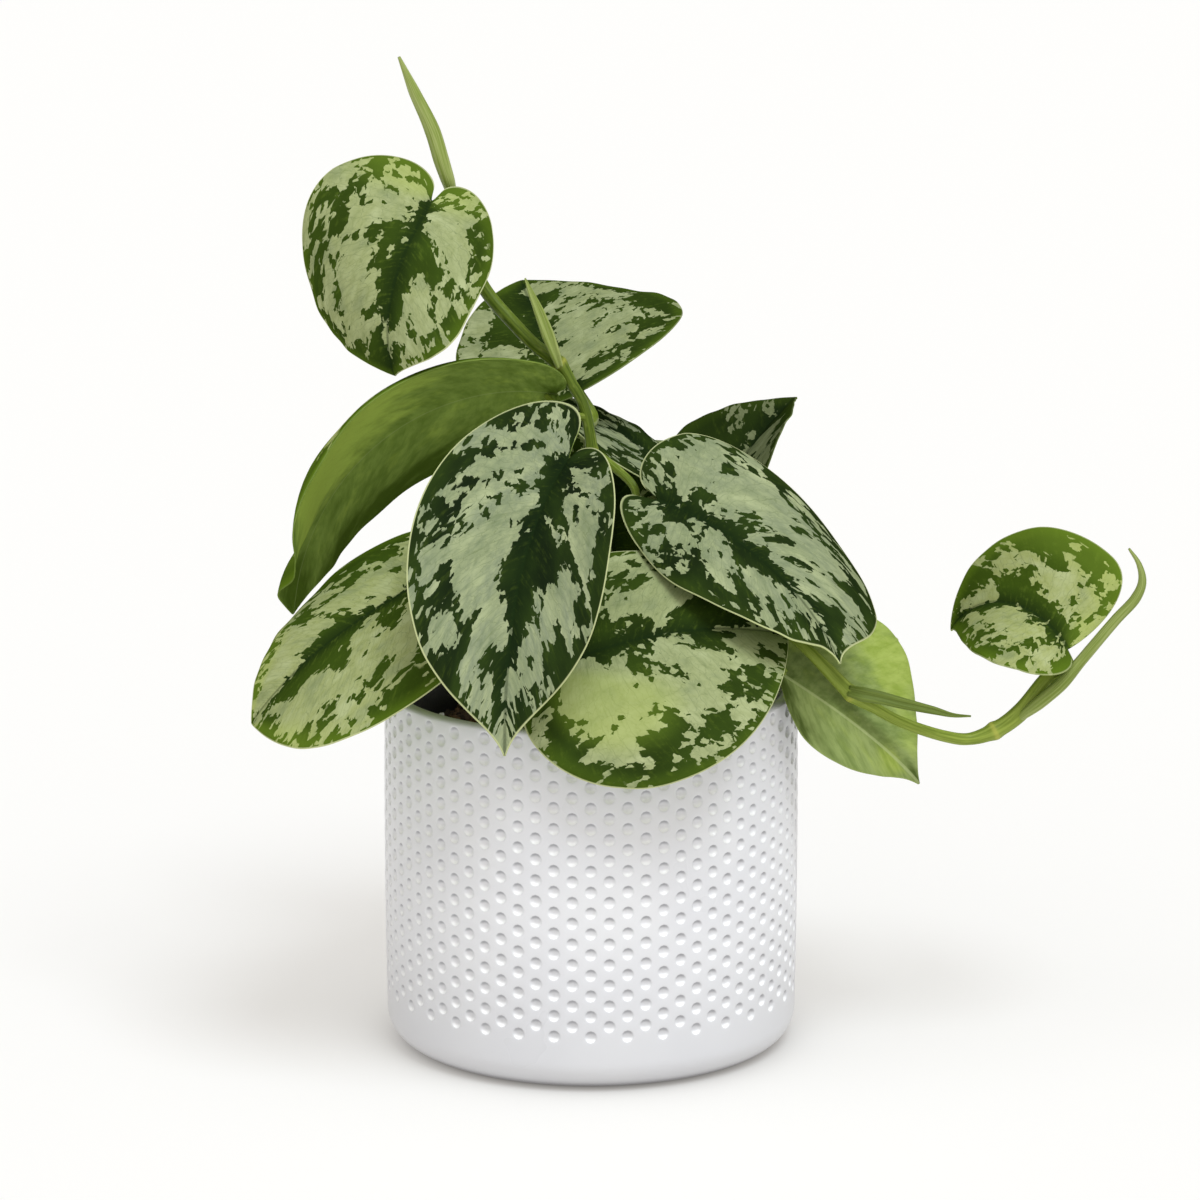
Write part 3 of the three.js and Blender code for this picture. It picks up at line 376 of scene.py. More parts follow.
            (0.42, -0.86, 0.04, 0.12), (0.53, 0.08, 0.05, 0.04), (0.2, -0.55, 0.12, 0.35),
            (0.76, -0.72, 0.12, 0.2), (0.66, 0.1, 0.04, 0.03), (0.76, 0.0, 0.03, 0.03),
            (0.87, 0.3, 0.07, 0.5), (0.93, 0.5, 0.04, 0.4)],
        dark=[
            (0.68, 0.1, 0.1, 0.1), (0.42, 0.66, 0.04, 0.08), (0.37, 0.17, 0.03, 0.1),
            (0.43, 0.66, 0.035, 0.13), (0.37, 0.72, 0.03, 0.07), (0.54, 0.76, 0.045, 0.1),
            (0.2, 0.85, 0.05, 0.1), (0.22, 0.73, 0.025, 0.05), (0.34, 0.92, 0.08, 0.06),
            (0.42, 0.84, 0.03, 0.05), (0.64, 0.62, 0.04, 0.07), (0.75, 0.68, 0.05, 0.1),
            (0.72, 0.84, 0.06, 0.08), (0.83, 0.6, 0.02, 0.12), (0.68, 0.53, 0.015, 0.06),
            (0.47, 0.25, 0.02, 0.06), (0.5, 0.34, 0.012, 0.08), (0.7, 0.25, 0.02, 0.1),
            (0.73, 0.13, 0.04, 0.05), (0.62, 0.17, 0.03, 0.04), (0.43, -0.6, 0.012, 0.06),
            (0.39, -0.68, 0.01, 0.05), (0.47, -0.7, 0.015, 0.05), (0.38, -0.22, 0.04, 0.06)]),
    "leaf_right_front": dict(
        tone=(0.1, 0.04, 0.45), slant=0.15, spread=0,
        silver=[
            (0.075, -0.68, 0.04, 0.22), (0.13, -0.72, 0.04, 0.2), (0.22, -0.55, 0.075, 0.36),
            (0.36, -0.45, 0.09, 0.36), (0.5, -0.45, 0.09, 0.36), (0.62, -0.4, 0.08, 0.3),
            (0.7, -0.3, 0.05, 0.22), (0.66, -0.7, 0.06, 0.12), (0.8, -0.85, 0.07, 0.1),
            (0.3, -0.85, 0.15, 0.08), (0.9, -0.8, 0.04, 0.1), (0.35, 0.16, 0.085, 0.13),
            (0.28, 0.45, 0.08, 0.17), (0.4, 0.38, 0.06, 0.2), (0.14, 0.5, 0.05, 0.2),
            (0.12, 0.75, 0.04, 0.12), (0.23, 0.75, 0.02, 0.2), (0.59, 0.48, 0.09, 0.2),
            (0.66, 0.3, 0.05, 0.08), (0.72, 0.5, 0.06, 0.12), (0.44, 0.68, 0.03, 0.14),
            (0.33, 0.72, 0.02, 0.05), (0.8, 0.2, 0.05, 0.3), (0.75, 0.3, 0.05, 0.15), (0.85, -0.1, 0.03, 0.3),
            (0.69, 0.79, 0.05, 0.04), (0.8, 0.77, 0.035, 0.08), (0.93, 0.2, 0.025, 0.5),
            (0.55, 0.85, 0.03, 0.05)],
        dark=[
            (0.13, -0.3, 0.03, 0.2), (0.26, -0.25, 0.05, 0.1), (0.45, -0.25, 0.02, 0.08),
            (0.5, -0.22, 0.012, 0.08), (0.6, -0.3, 0.02, 0.1), (0.78, -0.35, 0.045, 0.36),
            (0.17, -0.65, 0.012, 0.12), (0.2, -0.9, 0.02, 0.05), (0.3, -0.9, 0.015, 0.08),
            (0.36, -0.85, 0.01, 0.06), (0.45, -0.7, 0.015, 0.14), (0.48, -0.85, 0.02, 0.08),
            (0.57, -0.9, 0.03, 0.05), (0.68, -0.86, 0.04, 0.05), (0.12, -0.9, 0.02, 0.05),
            (0.61, -0.65, 0.01, 0.06), (0.67, -0.38, 0.012, 0.05), (0.4, -0.35, 0.012, 0.04),
            (0.35, -0.03, 0.42, 0.08), (0.18, 0.15, 0.07, 0.14), (0.33, 0.17, 0.012, 0.08),
            (0.5, 0.1, 0.06, 0.2), (0.48, 0.45, 0.015, 0.18), (0.35, 0.5, 0.02, 0.05),
            (0.4, 0.85, 0.12, 0.12), (0.31, 0.62, 0.02, 0.06), (0.6, 0.62, 0.02, 0.04),
            (0.68, 0.45, 0.015, 0.05), (0.76, 0.62, 0.06, 0.08), (0.63, 0.85, 0.12, 0.06),
            (0.88, 0.4, 0.02, 0.4), (0.82, 0.4, 0.01, 0.08)]),
    "leaf_back_right": dict(
        tone=(0.35, 0.52, 0.1), slant=0.2, rim=0.2,
        silver=[
            (0.69, -0.87, 0.02, 0.05), (0.71, -0.7, 0.02, 0.05), (0.69, -0.48, 0.025, 0.06),
            (0.87, -0.55, 0.015, 0.18), (0.68, -0.12, 0.05, 0.1), (0.61, -0.1, 0.02, 0.05),
            (0.6, 0.3, 0.09, 0.34), (0.5, 0.55, 0.06, 0.2), (0.45, 0.8, 0.06, 0.15), (0.3, -0.4, 0.1, 0.2),
            (0.3, 0.5, 0.1, 0.25)],
        dark=[(0.45, 0.5, 0.03, 0.05), (0.5, 0.72, 0.04, 0.08)]),
    "leaf_centre_back": dict(
        tone=(0.1, 0.12, 0.7), slant=0.2,
        silver=[
            (0.48, -0.3, 0.1, 0.26), (0.61, -0.35, 0.05, 0.16), (0.66, 0.0, 0.05, 0.14),
            (0.7, 0.45, 0.07, 0.15), (0.57, 0.55, 0.05, 0.1), (0.63, 0.8, 0.025, 0.2),
            (0.72, -0.45, 0.05, 0.15), (0.86, 0.3, 0.08, 0.4), (0.37, -0.6, 0.04, 0.3),
            (0.25, 0.5, 0.12, 0.3), (0.2, -0.5, 0.1, 0.3)],
        dark=[(0.42, -0.45, 0.02, 0.15), (0.56, -0.35, 0.015, 0.15)]),
    "leaf_right_hanging": dict(
        tone=(0.5, 0, 1), slant=0.3, keel=0.15, rim=0.5,
        glow=[(0.5, 0.85, 0.3, 0.25), (0.85, -0.4, 0.08, 0.3)],
        gloom=[(0.1, -0.6, 0.14, 0.6), (0.3, -0.9, 0.1, 0.2), (1.0, 0, 0.08, 1)]),
    "leaf_far_right": dict(
        tone=(0.8, 0.05, 0.1), slant=0.25, spread=0.5, rim=0.6,
        glow=[(0.05, 0.6, 0.12, 0.4), (0.35, 1.0, 0.22, 0.25)],
        silver=[
            (0.1, 0.75, 0.07, 0.3), (0.18, -0.55, 0.055, 0.32), (0.22, -0.86, 0.03, 0.1),
            (0.35, -0.42, 0.08, 0.28), (0.31, -0.8, 0.03, 0.1), (0.38, -0.72, 0.06, 0.06),
            (0.5, -0.3, 0.12, 0.26), (0.6, -0.35, 0.08, 0.16), (0.57, -0.66, 0.07, 0.08),
            (0.68, -0.57, 0.07, 0.07), (0.77, -0.42, 0.07, 0.1), (0.57, -0.88, 0.04, 0.04),
            (0.27, 0.45, 0.09, 0.2), (0.38, 0.4, 0.06, 0.2), (0.22, 0.66, 0.03, 0.14),
            (0.47, 0.45, 0.05, 0.16), (0.55, 0.6, 0.06, 0.1), (0.63, 0.6, 0.04, 0.18), (0.4, 0.7, 0.03, 0.07),
            (0.75, 0.15, 0.08, 0.15), (0.82, 0.36, 0.06, 0.25), (0.87, 0.6, 0.04, 0.2),
            (0.35, 0.1, 0.02, 0.05), (0.42, 0.17, 0.02, 0.06), (0.7, 0.88, 0.04, 0.06),
            (0.3, 0.87, 0.03, 0.07)],
        dark=[
            (0.24, -0.35, 0.03, 0.08), (0.3, -0.57, 0.015, 0.06), (0.41, -0.62, 0.02, 0.05),
            (0.66, -0.38, 0.03, 0.04), (0.57, -0.52, 0.05, 0.03), (0.27, -0.72, 0.012, 0.08),
            (0.8, 0.35, 0.02, 0.06), (0.83, 0.15, 0.015, 0.05), (0.4, -0.03, 0.45, 0.07),
            (0.27, 0.35, 0.012, 0.1), (0.33, 0.6, 0.02, 0.08), (0.43, 0.55, 0.015, 0.1),
            (0.6, 0.2, 0.1, 0.14), (0.5, 0.6, 0.012, 0.08), (0.4, 0.08, 0.25, 0.16), (0.42, 0.8, 0.1, 0.1),
            (0.75, 0.6, 0.06, 0.22), (0.7, -0.97, 0.2, 0.2), (0.47, -0.68, 0.06, 0.05)]),
    "leaf_rear_left": dict(tone=(0.4, 0, 0.2), slant=0.25),
    "leaf_rear_middle": dict(tone=(0.4, 0, 0.2), slant=0.25),
    "leaf_rear_right": dict(tone=(0.4, 0, 0.2), slant=0.25),
}

# ---------- stage and light ----------
FLOOR_HALF = 20.0
VIEW_DEPTH = 100
# The room is brighter in front of the plant than behind it.
ROOM_FRONT = (1.05, 1.02, 0.99, 1)
ROOM_BACK = (0.06, 0.06, 0.06, 1)
# Soft suns: name, the direction they come from, how wide they are in degrees, strength and colour.
SUNS = [
    ("key", (0.6, -1.0, 2.1), 29, 1.6, (0.92, 1.0, 1.07)),
    ("fill", (-1.0, -0.5, 1.9), 32, 0.16, (0.92, 1.0, 1.07)),
]
# The backdrop is lit from within a little, so that shadows on it stay light.
FLOOR_COLOR = (0.475, 0.475, 0.47, 1)
FLOOR_GLOW = (1.0, 0.97, 0.93, 1)
FLOOR_GLOW_STRENGTH = 0.52
# A painted contact shadow darkens it close to the pot's foot: by what share, and within how many metres, in a
# narrow and a wide ring.
FLOOR_SHADE = [(0.75, 0.006), (0.12, 0.03)]
FLOOR_SHADE_COLOR = (0.05, 0.045, 0.04, 1)


# ---------- meshes ----------
def solid(name, points, faces, materials, face_material=None, values=None):
    """A smooth mesh object from points in millimetres, with named values at its points."""
    mesh = bpy.data.meshes.new(name)
    mesh.from_pydata((np.asarray(points, float) * MM).tolist(), [], faces)
    for material in materials:
        mesh.materials.append(material)
    if face_material is not None:
        mesh.polygons.foreach_set("material_index", face_material)
    mesh.shade_smooth()
    for label, numbers in (values or {}).items():
        numbers = np.asarray(numbers, np.float32)
        kind, field = ("FLOAT", "value") if numbers.ndim == 1 else ("FLOAT_VECTOR", "vector")
        mesh.attributes.new(label, kind, "POINT").data.foreach_set(field, numbers.ravel())
    piece = bpy.data.objects.new(name, mesh)
    bpy.context.scene.collection.objects.link(piece)
    return piece


def dress(piece, slot, *nodes):
    """A piece that stands for CAD nodes and rides with them."""
    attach(piece, BODY)
    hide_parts(*nodes)


class Skin:
    """Points and faces gathered from several closed surfaces, with named values at the points."""

    def __init__(self):
        self.points = []
        self.faces = []
        self.values = {}

    def add(self, points, faces, **values):
        start = len(self.points)
        self.points.extend(np.asarray(points, float).tolist())
        self.faces.extend([[start + i for i in face] for face in faces])
        for label, numbers in values.items():
            self.values.setdefault(label, []).extend(np.asarray(numbers, float).tolist())

    def build(self, name, materials):
        return solid(name, self.points, self.faces, materials, values=self.values)


def ring_faces(rings, sides):
    """Quads between rings of equal length, counted in order, and a fan at each end."""
    faces = []
    for i in range(rings - 1):
        for j in range(sides):
            k = (j + 1) % sides
            faces.append([i * sides + j, i * sides + k, (i + 1) * sides + k, (i + 1) * sides + j])
    first, last = rings * sides, rings * sides + 1
    for j in range(sides):
        k = (j + 1) % sides
        faces.append([first, k, j])
        faces.append([last, (rings - 1) * sides + j, (rings - 1) * sides + k])
    return faces


def mix(pair, share):
    return pair[0] + (pair[1] - pair[0]) * share


def unit(vectors):
    return vectors / np.linalg.norm(vectors, axis=-1, keepdims=True)


# ---------- the blade's surface ----------
def cubic(ends, t):
    """A cubic Bezier curve through four (along, across) control points."""
    a, b, c, d = (np.array(end, float) for end in ends)
    t = np.asarray(t, float)[..., None]
    return a * (1 - t) ** 3 + 3 * b * t * (1 - t) ** 2 + 3 * c * t * t * (1 - t) + d * t ** 3


class Blade:
    """The surface of one leaf. Half 0 is the left one and half 1 the right one, seen from above."""

    def __init__(self, leaf):
        self.leaf = leaf
        middles = (np.arange(MIDRIB_STEPS) + 0.5) / MIDRIB_STEPS
        steps = self.axes(middles)[0] * leaf["length"] / MIDRIB_STEPS
        base = np.array(leaf["base"], float)
        self.midrib = np.vstack([base, base + np.cumsum(steps, axis=0)])

    def axes(self, share):
        """Directions along the midrib, to its right and up from the blade."""
        heading = np.radians(self.leaf["heading"] + self.leaf["turn"] * share)
        pitch = np.radians(mix(self.leaf["pitch"], share))
        roll = np.radians(mix(self.leaf["roll"], share))[..., None]
        along = np.stack([
            np.cos(pitch) * np.cos(heading), np.cos(pitch) * np.sin(heading), np.sin(pitch)], -1)
        level = np.stack([np.sin(heading), -np.cos(heading), np.zeros_like(heading)], -1)
        up = np.cross(level, along)
        right = level * np.cos(roll) + up * np.sin(roll)
        normal = up * np.cos(roll) - level * np.sin(roll)
        return along, right, normal

    def margin(self, half, place):
        """The flat margin of one half, (along, across), from the notch, 0, to the tip, 1."""
        leaf = self.leaf
        width, lobe, shoulder = leaf["width"][half], leaf["lobe"][half], leaf["shoulder"][half]
        length, widest, fullness, drip = leaf["length"], leaf["widest"], leaf["fullness"], leaf.get("drip", 0)
        far = length - widest
        basal = cubic([
            (-0.35 * lobe, 0.02 * length), (-1.3 * lobe, 0.1 * width),
            (widest - shoulder * (widest + lobe), width), (widest, width)],
            np.clip(place / MARGIN_BREAK, 0, 1))
        distal = cubic([
            (widest, width), (widest + far * (0.35 + 0.3 * fullness + drip), width),
            (length - 0.25 * far, (0.2 + 0.35 * fullness - drip) * width), (length, TIP_HALF_WIDTH)],
            np.clip((place - MARGIN_BREAK) / (1 - MARGIN_BREAK), 0, 1))
        return np.where((place <= MARGIN_BREAK)[..., None], basal, distal)

    def surface(self, half, along, across):
        leaf = self.leaf
        width, side = leaf["width"][half], (-1, 1)[half]
        share = np.clip(along / leaf["length"], 0, 1)
        axis, right, normal = self.axes(share)
        fold, curl = math.radians(leaf["fold"]), math.radians(leaf["curl"][half])
        slope = fold - curl * across / width
        lateral = (math.sin(fold) - np.sin(slope)) / curl * width
        rise = (np.cos(slope) - math.cos(fold)) / curl * width
        places = np.linspace(0, 1, MIDRIB_STEPS + 1)
        middle = np.stack([np.interp(share, places, self.midrib[:, k]) for k in range(3)], -1)
        return (middle + axis * (along - share * leaf["length"])[..., None]
                + right * (side * lateral)[..., None] + normal * rise[..., None])

    def normal(self, half, along, across):
        lengthwise = (self.surface(half, along + SLOPE_STEP, across)
                      - self.surface(half, along - SLOPE_STEP, across))
        outer = self.surface(half, along, across + SLOPE_STEP)
        inner = self.surface(half, along, np.maximum(across - SLOPE_STEP, 0))
        normal = unit(np.cross((outer - inner) * (-1, 1)[half], lengthwise))
        middle = self.axes(np.clip(along / self.leaf["length"], 0, 1))[2]
        return np.where((across <= 0)[..., None], middle, normal)

    def seat(self):
        """A point of approach to the blade from behind, and where the petiole ends under its midrib."""
        along, _, normal = (axis[0] for axis in self.axes(np.zeros(1)))
        base = np.array(self.leaf["base"], float)
        depth = CAD_THICKNESS + SEAT_GAP + SEAT_RADIUS
        end = base + along * SEAT_REACH - normal * depth
        approach = base - along * SEAT_BACK - normal * (depth + SEAT_DROP)
        return approach, end


def ellipses(marks, share, out, leaf, slant):
    """How many millimetres inside a set of ellipses each place lies. They lean with the side veins."""
    length, width = leaf["length"], sum(leaf["width"]) / 2
    depth = np.full(share.shape, -FIELD_LIMIT)
    for at, reach, half_at, half_reach in marks:
        lean = slant * (1 - at) * (np.abs(out) - abs(reach)) * (out * reach > 0)
        inside = 1 - np.hypot((share - at - lean) / half_at, (out - reach) / half_reach)
        depth = np.maximum(depth, inside * min(half_at * length, half_reach * width))
    return np.minimum(depth, FIELD_LIMIT)


def silver_field(look, share, out, leaf):
    """How deep in silver each place of a blade lies, with the dark marks laid over the silver ones."""
    silver = ellipses(look["silver"], share, out, leaf, look["slant"]) + look.get("spread", 0)
    dark = ellipses(look["dark"], share, out, leaf, look["slant"])
    return np.minimum(silver, -dark)


def plain_marks(seed):
    """Silver and dark marks of a leaf drawn at random, with the same habit as the others."""
    draw = np.random.default_rng(seed)
    silver = [(draw.uniform(0.08, 0.92), draw.choice((-1, 1)) * draw.uniform(0.3, 0.7),
               draw.uniform(0.06, 0.13), draw.uniform(0.15, 0.3)) for _ in range(16)]
    silver += [(draw.uniform(0.1, 0.9), draw.choice((-1, 1)) * draw.uniform(0.75, 0.95), 0.025, 0.08)
               for _ in range(10)]
    dark = [(draw.uniform(0.1, 0.9), draw.uniform(-0.9, 0.9), draw.uniform(0.01, 0.03),
             draw.uniform(0.04, 0.12)) for _ in range(16)]
    dark.append((0.4, 0, 0.7, 0.14))
    return silver, dark


def blade_piece(name, leaf, look, index, materials):
    """A leaf blade with a rounded margin, a grooved midrib above and a keel below."""
    blade = Blade(leaf)
    draw = np.random.default_rng(100 + index)
    rows = np.concatenate([[0], np.linspace(0, 1, BLADE_ROWS + 1), [1]])
    row_push = np.zeros(rows.size)
    row_push[[0, -1]] = -MARGIN_ROUND, MARGIN_ROUND
    steps = np.linspace(0, 1, BLADE_COLUMNS + 1) ** COLUMN_POWER
    outs = np.concatenate([steps, [1]])
    count = rows.size
    top, low, share_of, out_of, edge_of, wide_of = [], [], [], [], [], []
    for half in (0, 1):
        share = np.repeat(rows[:, None], outs.size, 1)
        out = np.repeat(outs[None, :], count, 0)
        edge = blade.margin(half, share ** MARGIN_POWER)
        root = share ** MIDRIB_POWER * leaf["length"]
        along = root + (edge[..., 0] - root) * out ** SPREAD_POWER + row_push[:, None]
        across = edge[..., 1] * out
        across[:, -1] += MARGIN_ROUND
        point = blade.surface(half, along, across)
        normal = blade.normal(half, along, across)
        border = np.zeros(share.shape, bool)
        border[[0, -1], :] = True
        border[:, -1] = True
        phase = draw.uniform(0, 2 * math.pi, 3)
        waves = sum(
            height * np.sin(2 * math.pi * turns * share + shift)
            for (height, turns), shift in zip(WAVES, phase))
        lift = WAVE_HEIGHT * waves * out ** 2 * np.sin(np.pi * np.clip(share, 0.02, 0.98))
        for side, at, size, height in look.get("dents", []):
            if side == (-1, 1)[half]:
                lift = lift + height * np.exp(-((share - at) / size) ** 2) * np.clip(2 * out, 0, 1)
        middle = np.exp(-(across / GROOVE_WIDTH) ** 2) * (1 - 0.8 * share)
        thick = BLADE_THICKNESS + (MARGIN_THICKNESS - BLADE_THICKNESS) * out
        keel = look.get("keel", 1)
        upper = point + normal * (lift - GROOVE_DEPTH * keel * middle)[..., None]
        lower = point + normal * (lift - thick - KEEL_DEPTH * keel * middle)[..., None]
        rim = (upper + lower) / 2
        top.append(np.where(border[..., None], rim, upper))
        low.append(np.where(border[..., None], rim, lower))
        share_of.append(share)
        out_of.append(out * (-1, 1)[half])
        wide_of.append(across * (-1, 1)[half])
        edge_of.append((1 - out) * edge[..., 1])

    def whole(pair):
        return np.concatenate([pair[0][:, :0:-1], pair[1]], axis=1)

    share, out, wide, edge = (whole(pair) for pair in (share_of, out_of, wide_of, edge_of))
    upper, lower = whole(top), whole(low)
    across_count = share.shape[1]
    inner = np.zeros(share.shape, bool)
    inner[1:-1, 1:-1] = True
    upper_id = np.arange(share.size).reshape(share.shape)
    lower_id = np.where(inner, share.size + np.cumsum(inner).reshape(share.shape) - 1, upper_id)
    faces, face_material = [], []
    for i in range(count - 1):
        for j in range(across_count - 1):
            corners = [(i, j), (i, j + 1), (i + 1, j + 1), (i + 1, j)]
            faces.append([int(upper_id[c]) for c in corners])
            faces.append([int(lower_id[c]) for c in reversed(corners)])
            face_material.extend([0, 1])

    def both(grid):
        return np.concatenate([grid.reshape(-1, *grid.shape[2:]), grid[inner]])

    points = np.concatenate([upper.reshape(-1, 3), lower[inner]])
    field = silver_field(look, share, out, leaf)
    foot = share - look["slant"] * (1 - share) * np.abs(out)
    vein = np.stack([foot * leaf["length"] + PATTERN_SHIFT * index, wide, edge], -1)
    along = (0.6 * share + 0.4 * foot) * leaf["length"] + PATTERN_SHIFT * index
    tone = np.broadcast_to(np.array(look["tone"], float), vein.shape)
    # glow and gloom: painted light where light comes through, and painted shadow, carried as one value.
    glow, gloom = (ellipses(look.get(label, []), share, out, leaf, 0) for label in ("glow", "gloom"))
    return solid(name, points, faces, materials, face_material, {
        "vein": both(vein), "along": both(along), "silver": both(field), "tone": both(tone),
        "glow": both(glow - gloom), "rim": np.full(len(points), look.get("rim", 1.0))})


# ---------- tubes ----------
def catmull_rom(points, places):
    """A centripetal curve through all points, at places counted in points."""
    points = np.asarray(points, float)
    padded = np.vstack([2 * points[0] - points[1], points, 2 * points[-1] - points[-2]])
    index = np.clip(np.floor(places).astype(int), 0, len(points) - 2)
    t = (places - index)[:, None]
    a, b, c, d = (padded[index + k] for k in range(4))
    gap_a, gap_b, gap_c = (
        np.linalg.norm(q - p, axis=1, keepdims=True) ** 0.5 for p, q in ((a, b), (b, c), (c, d)))
    leave = ((b - a) / gap_a - (c - a) / (gap_a + gap_b) + (c - b) / gap_b) * gap_b
    arrive = ((c - b) / gap_b - (d - b) / (gap_b + gap_c) + (d - c) / gap_c) * gap_b
    return (b + leave * t + (-3 * b + 3 * c - 2 * leave - arrive) * t * t
            + (2 * b - 2 * c + leave + arrive) * t ** 3)


class Route:
    """A smooth route at even steps: its points, directions, radius and the length run so far."""

    def __init__(self, stations, steps):
        stations = np.asarray(stations, float)
        places = np.linspace(0, len(stations) - 1, ROUTE_DETAIL * len(stations))
        dense = catmull_rom(stations[:, :3], places)
        run = np.concatenate([[0], np.cumsum(np.linalg.norm(np.diff(dense, axis=0), axis=1))])
        self.run = np.linspace(0, run[-1], steps + 1)
        self.points = np.stack([np.interp(self.run, run, dense[:, k]) for k in range(3)], -1)
        place = np.interp(self.run, run, places)
        self.radius = np.interp(place, np.arange(len(stations)), stations[:, 3])
        self.share = self.run / run[-1]
        self.ahead = unit(np.gradient(self.points, axis=0))

    def sides(self, up):
        """Directions across the route, carried along it: one towards up and one to its side."""
        ups, side = [], []
        last = np.asarray(up, float)
        for ahead in self.ahead:
            last = unit(last - ahead * np.dot(last, ahead))
            ups.append(last)
            side.append(np.cross(last, ahead))
        return np.array(ups), np.array(side)


def tube(skin, route, section, up, pale=0.0, rings=()):
    """A closed tube. section(share, angle) gives its extent sideways and upwards, in radii."""
    ups, side = route.sides(up)
    angle = np.arange(STEM_SIDES) * 2 * math.pi / STEM_SIDES
    share, turn = np.meshgrid(route.share, angle, indexing="ij")
    across, high = section(share, turn)
    radius = route.radius.copy()
    ring = np.zeros(route.run.size)
    for at, swell in rings:
        nearest = np.linalg.norm(route.points - np.array(at, float), axis=1)
        radius += swell * np.exp(-(nearest / NODE_WIDTH) ** 2)
        ring = np.maximum(ring, np.exp(-(nearest / NODE_RING_WIDTH) ** 2))
    points = (route.points[:, None] + side[:, None] * (radius[:, None] * across)[..., None]
              + ups[:, None] * (radius[:, None] * high)[..., None])
    count = route.run.size
    ends = np.stack([points[0].mean(0), points[-1].mean(0)])

    def spread(grid):
        return np.concatenate([grid.ravel(), [grid[0].mean(), grid[-1].mean()]])

    run = np.repeat(route.run[:, None], STEM_SIDES, 1)
    stem = np.stack([spread(run), spread(np.cos(turn)), spread(np.sin(turn))], -1)
    skin.add(
        np.concatenate([points.reshape(-1, 3), ends]), ring_faces(count, STEM_SIDES), stem=stem,
        ring=spread(np.repeat(ring[:, None], STEM_SIDES, 1)),
        pale=np.full(points.shape[0] * STEM_SIDES + 2, pale))


def round_section(share, angle):
    return np.cos(angle), np.sin(angle)


def channel_section(share, angle):
    """A petiole: round below, with a channel between two thin wings above."""
    wings = 0.28 * np.exp(-((np.abs(angle - math.pi / 2) - 0.75) / 0.3) ** 2)
    channel = 0.42 * np.exp(-((angle - math.pi / 2) / 0.45) ** 2)
    reach = 1 + (wings - channel) * np.clip(share * 3, 0, 1)
    return reach * np.cos(angle), reach * np.sin(angle)


def rolled_section(share, angle):
    """A rolled leaf: its outer edge laps over the start of the roll."""
    lap = (angle / (2 * math.pi)) ** 3
    reach = 0.92 + 0.26 * lap * np.sin(np.pi * np.clip(share, 0.05, 0.98)) ** 0.5
    return reach * np.cos(angle), reach * np.sin(angle)


def sheath_section(share, angle):
    """A papery sheath: a folded strip, creased along its upper side."""
    crease = 0.55 * np.exp(-((angle - math.pi / 2) / 0.35) ** 2)
    return 1.15 * np.cos(angle), (0.6 - crease) * np.sin(angle)


# ---------- materials ----------
class Value:
    """A number or vector that a node gives. Plus, minus, times and so on make the nodes that work it out."""

    def __init__(self, shader, socket):
        self.shader, self.socket = shader, socket

    def __add__(self, other):
        return self.shader.math("ADD", self, other)

    def __sub__(self, other):
        return self.shader.math("SUBTRACT", self, other)

    def __mul__(self, other):
        return self.shader.math("MULTIPLY", self, other)

    def __truediv__(self, other):
        return self.shader.math("DIVIDE", self, other)

    def __abs__(self):
        return self.shader.math("ABSOLUTE", self)

    __radd__ = __add__


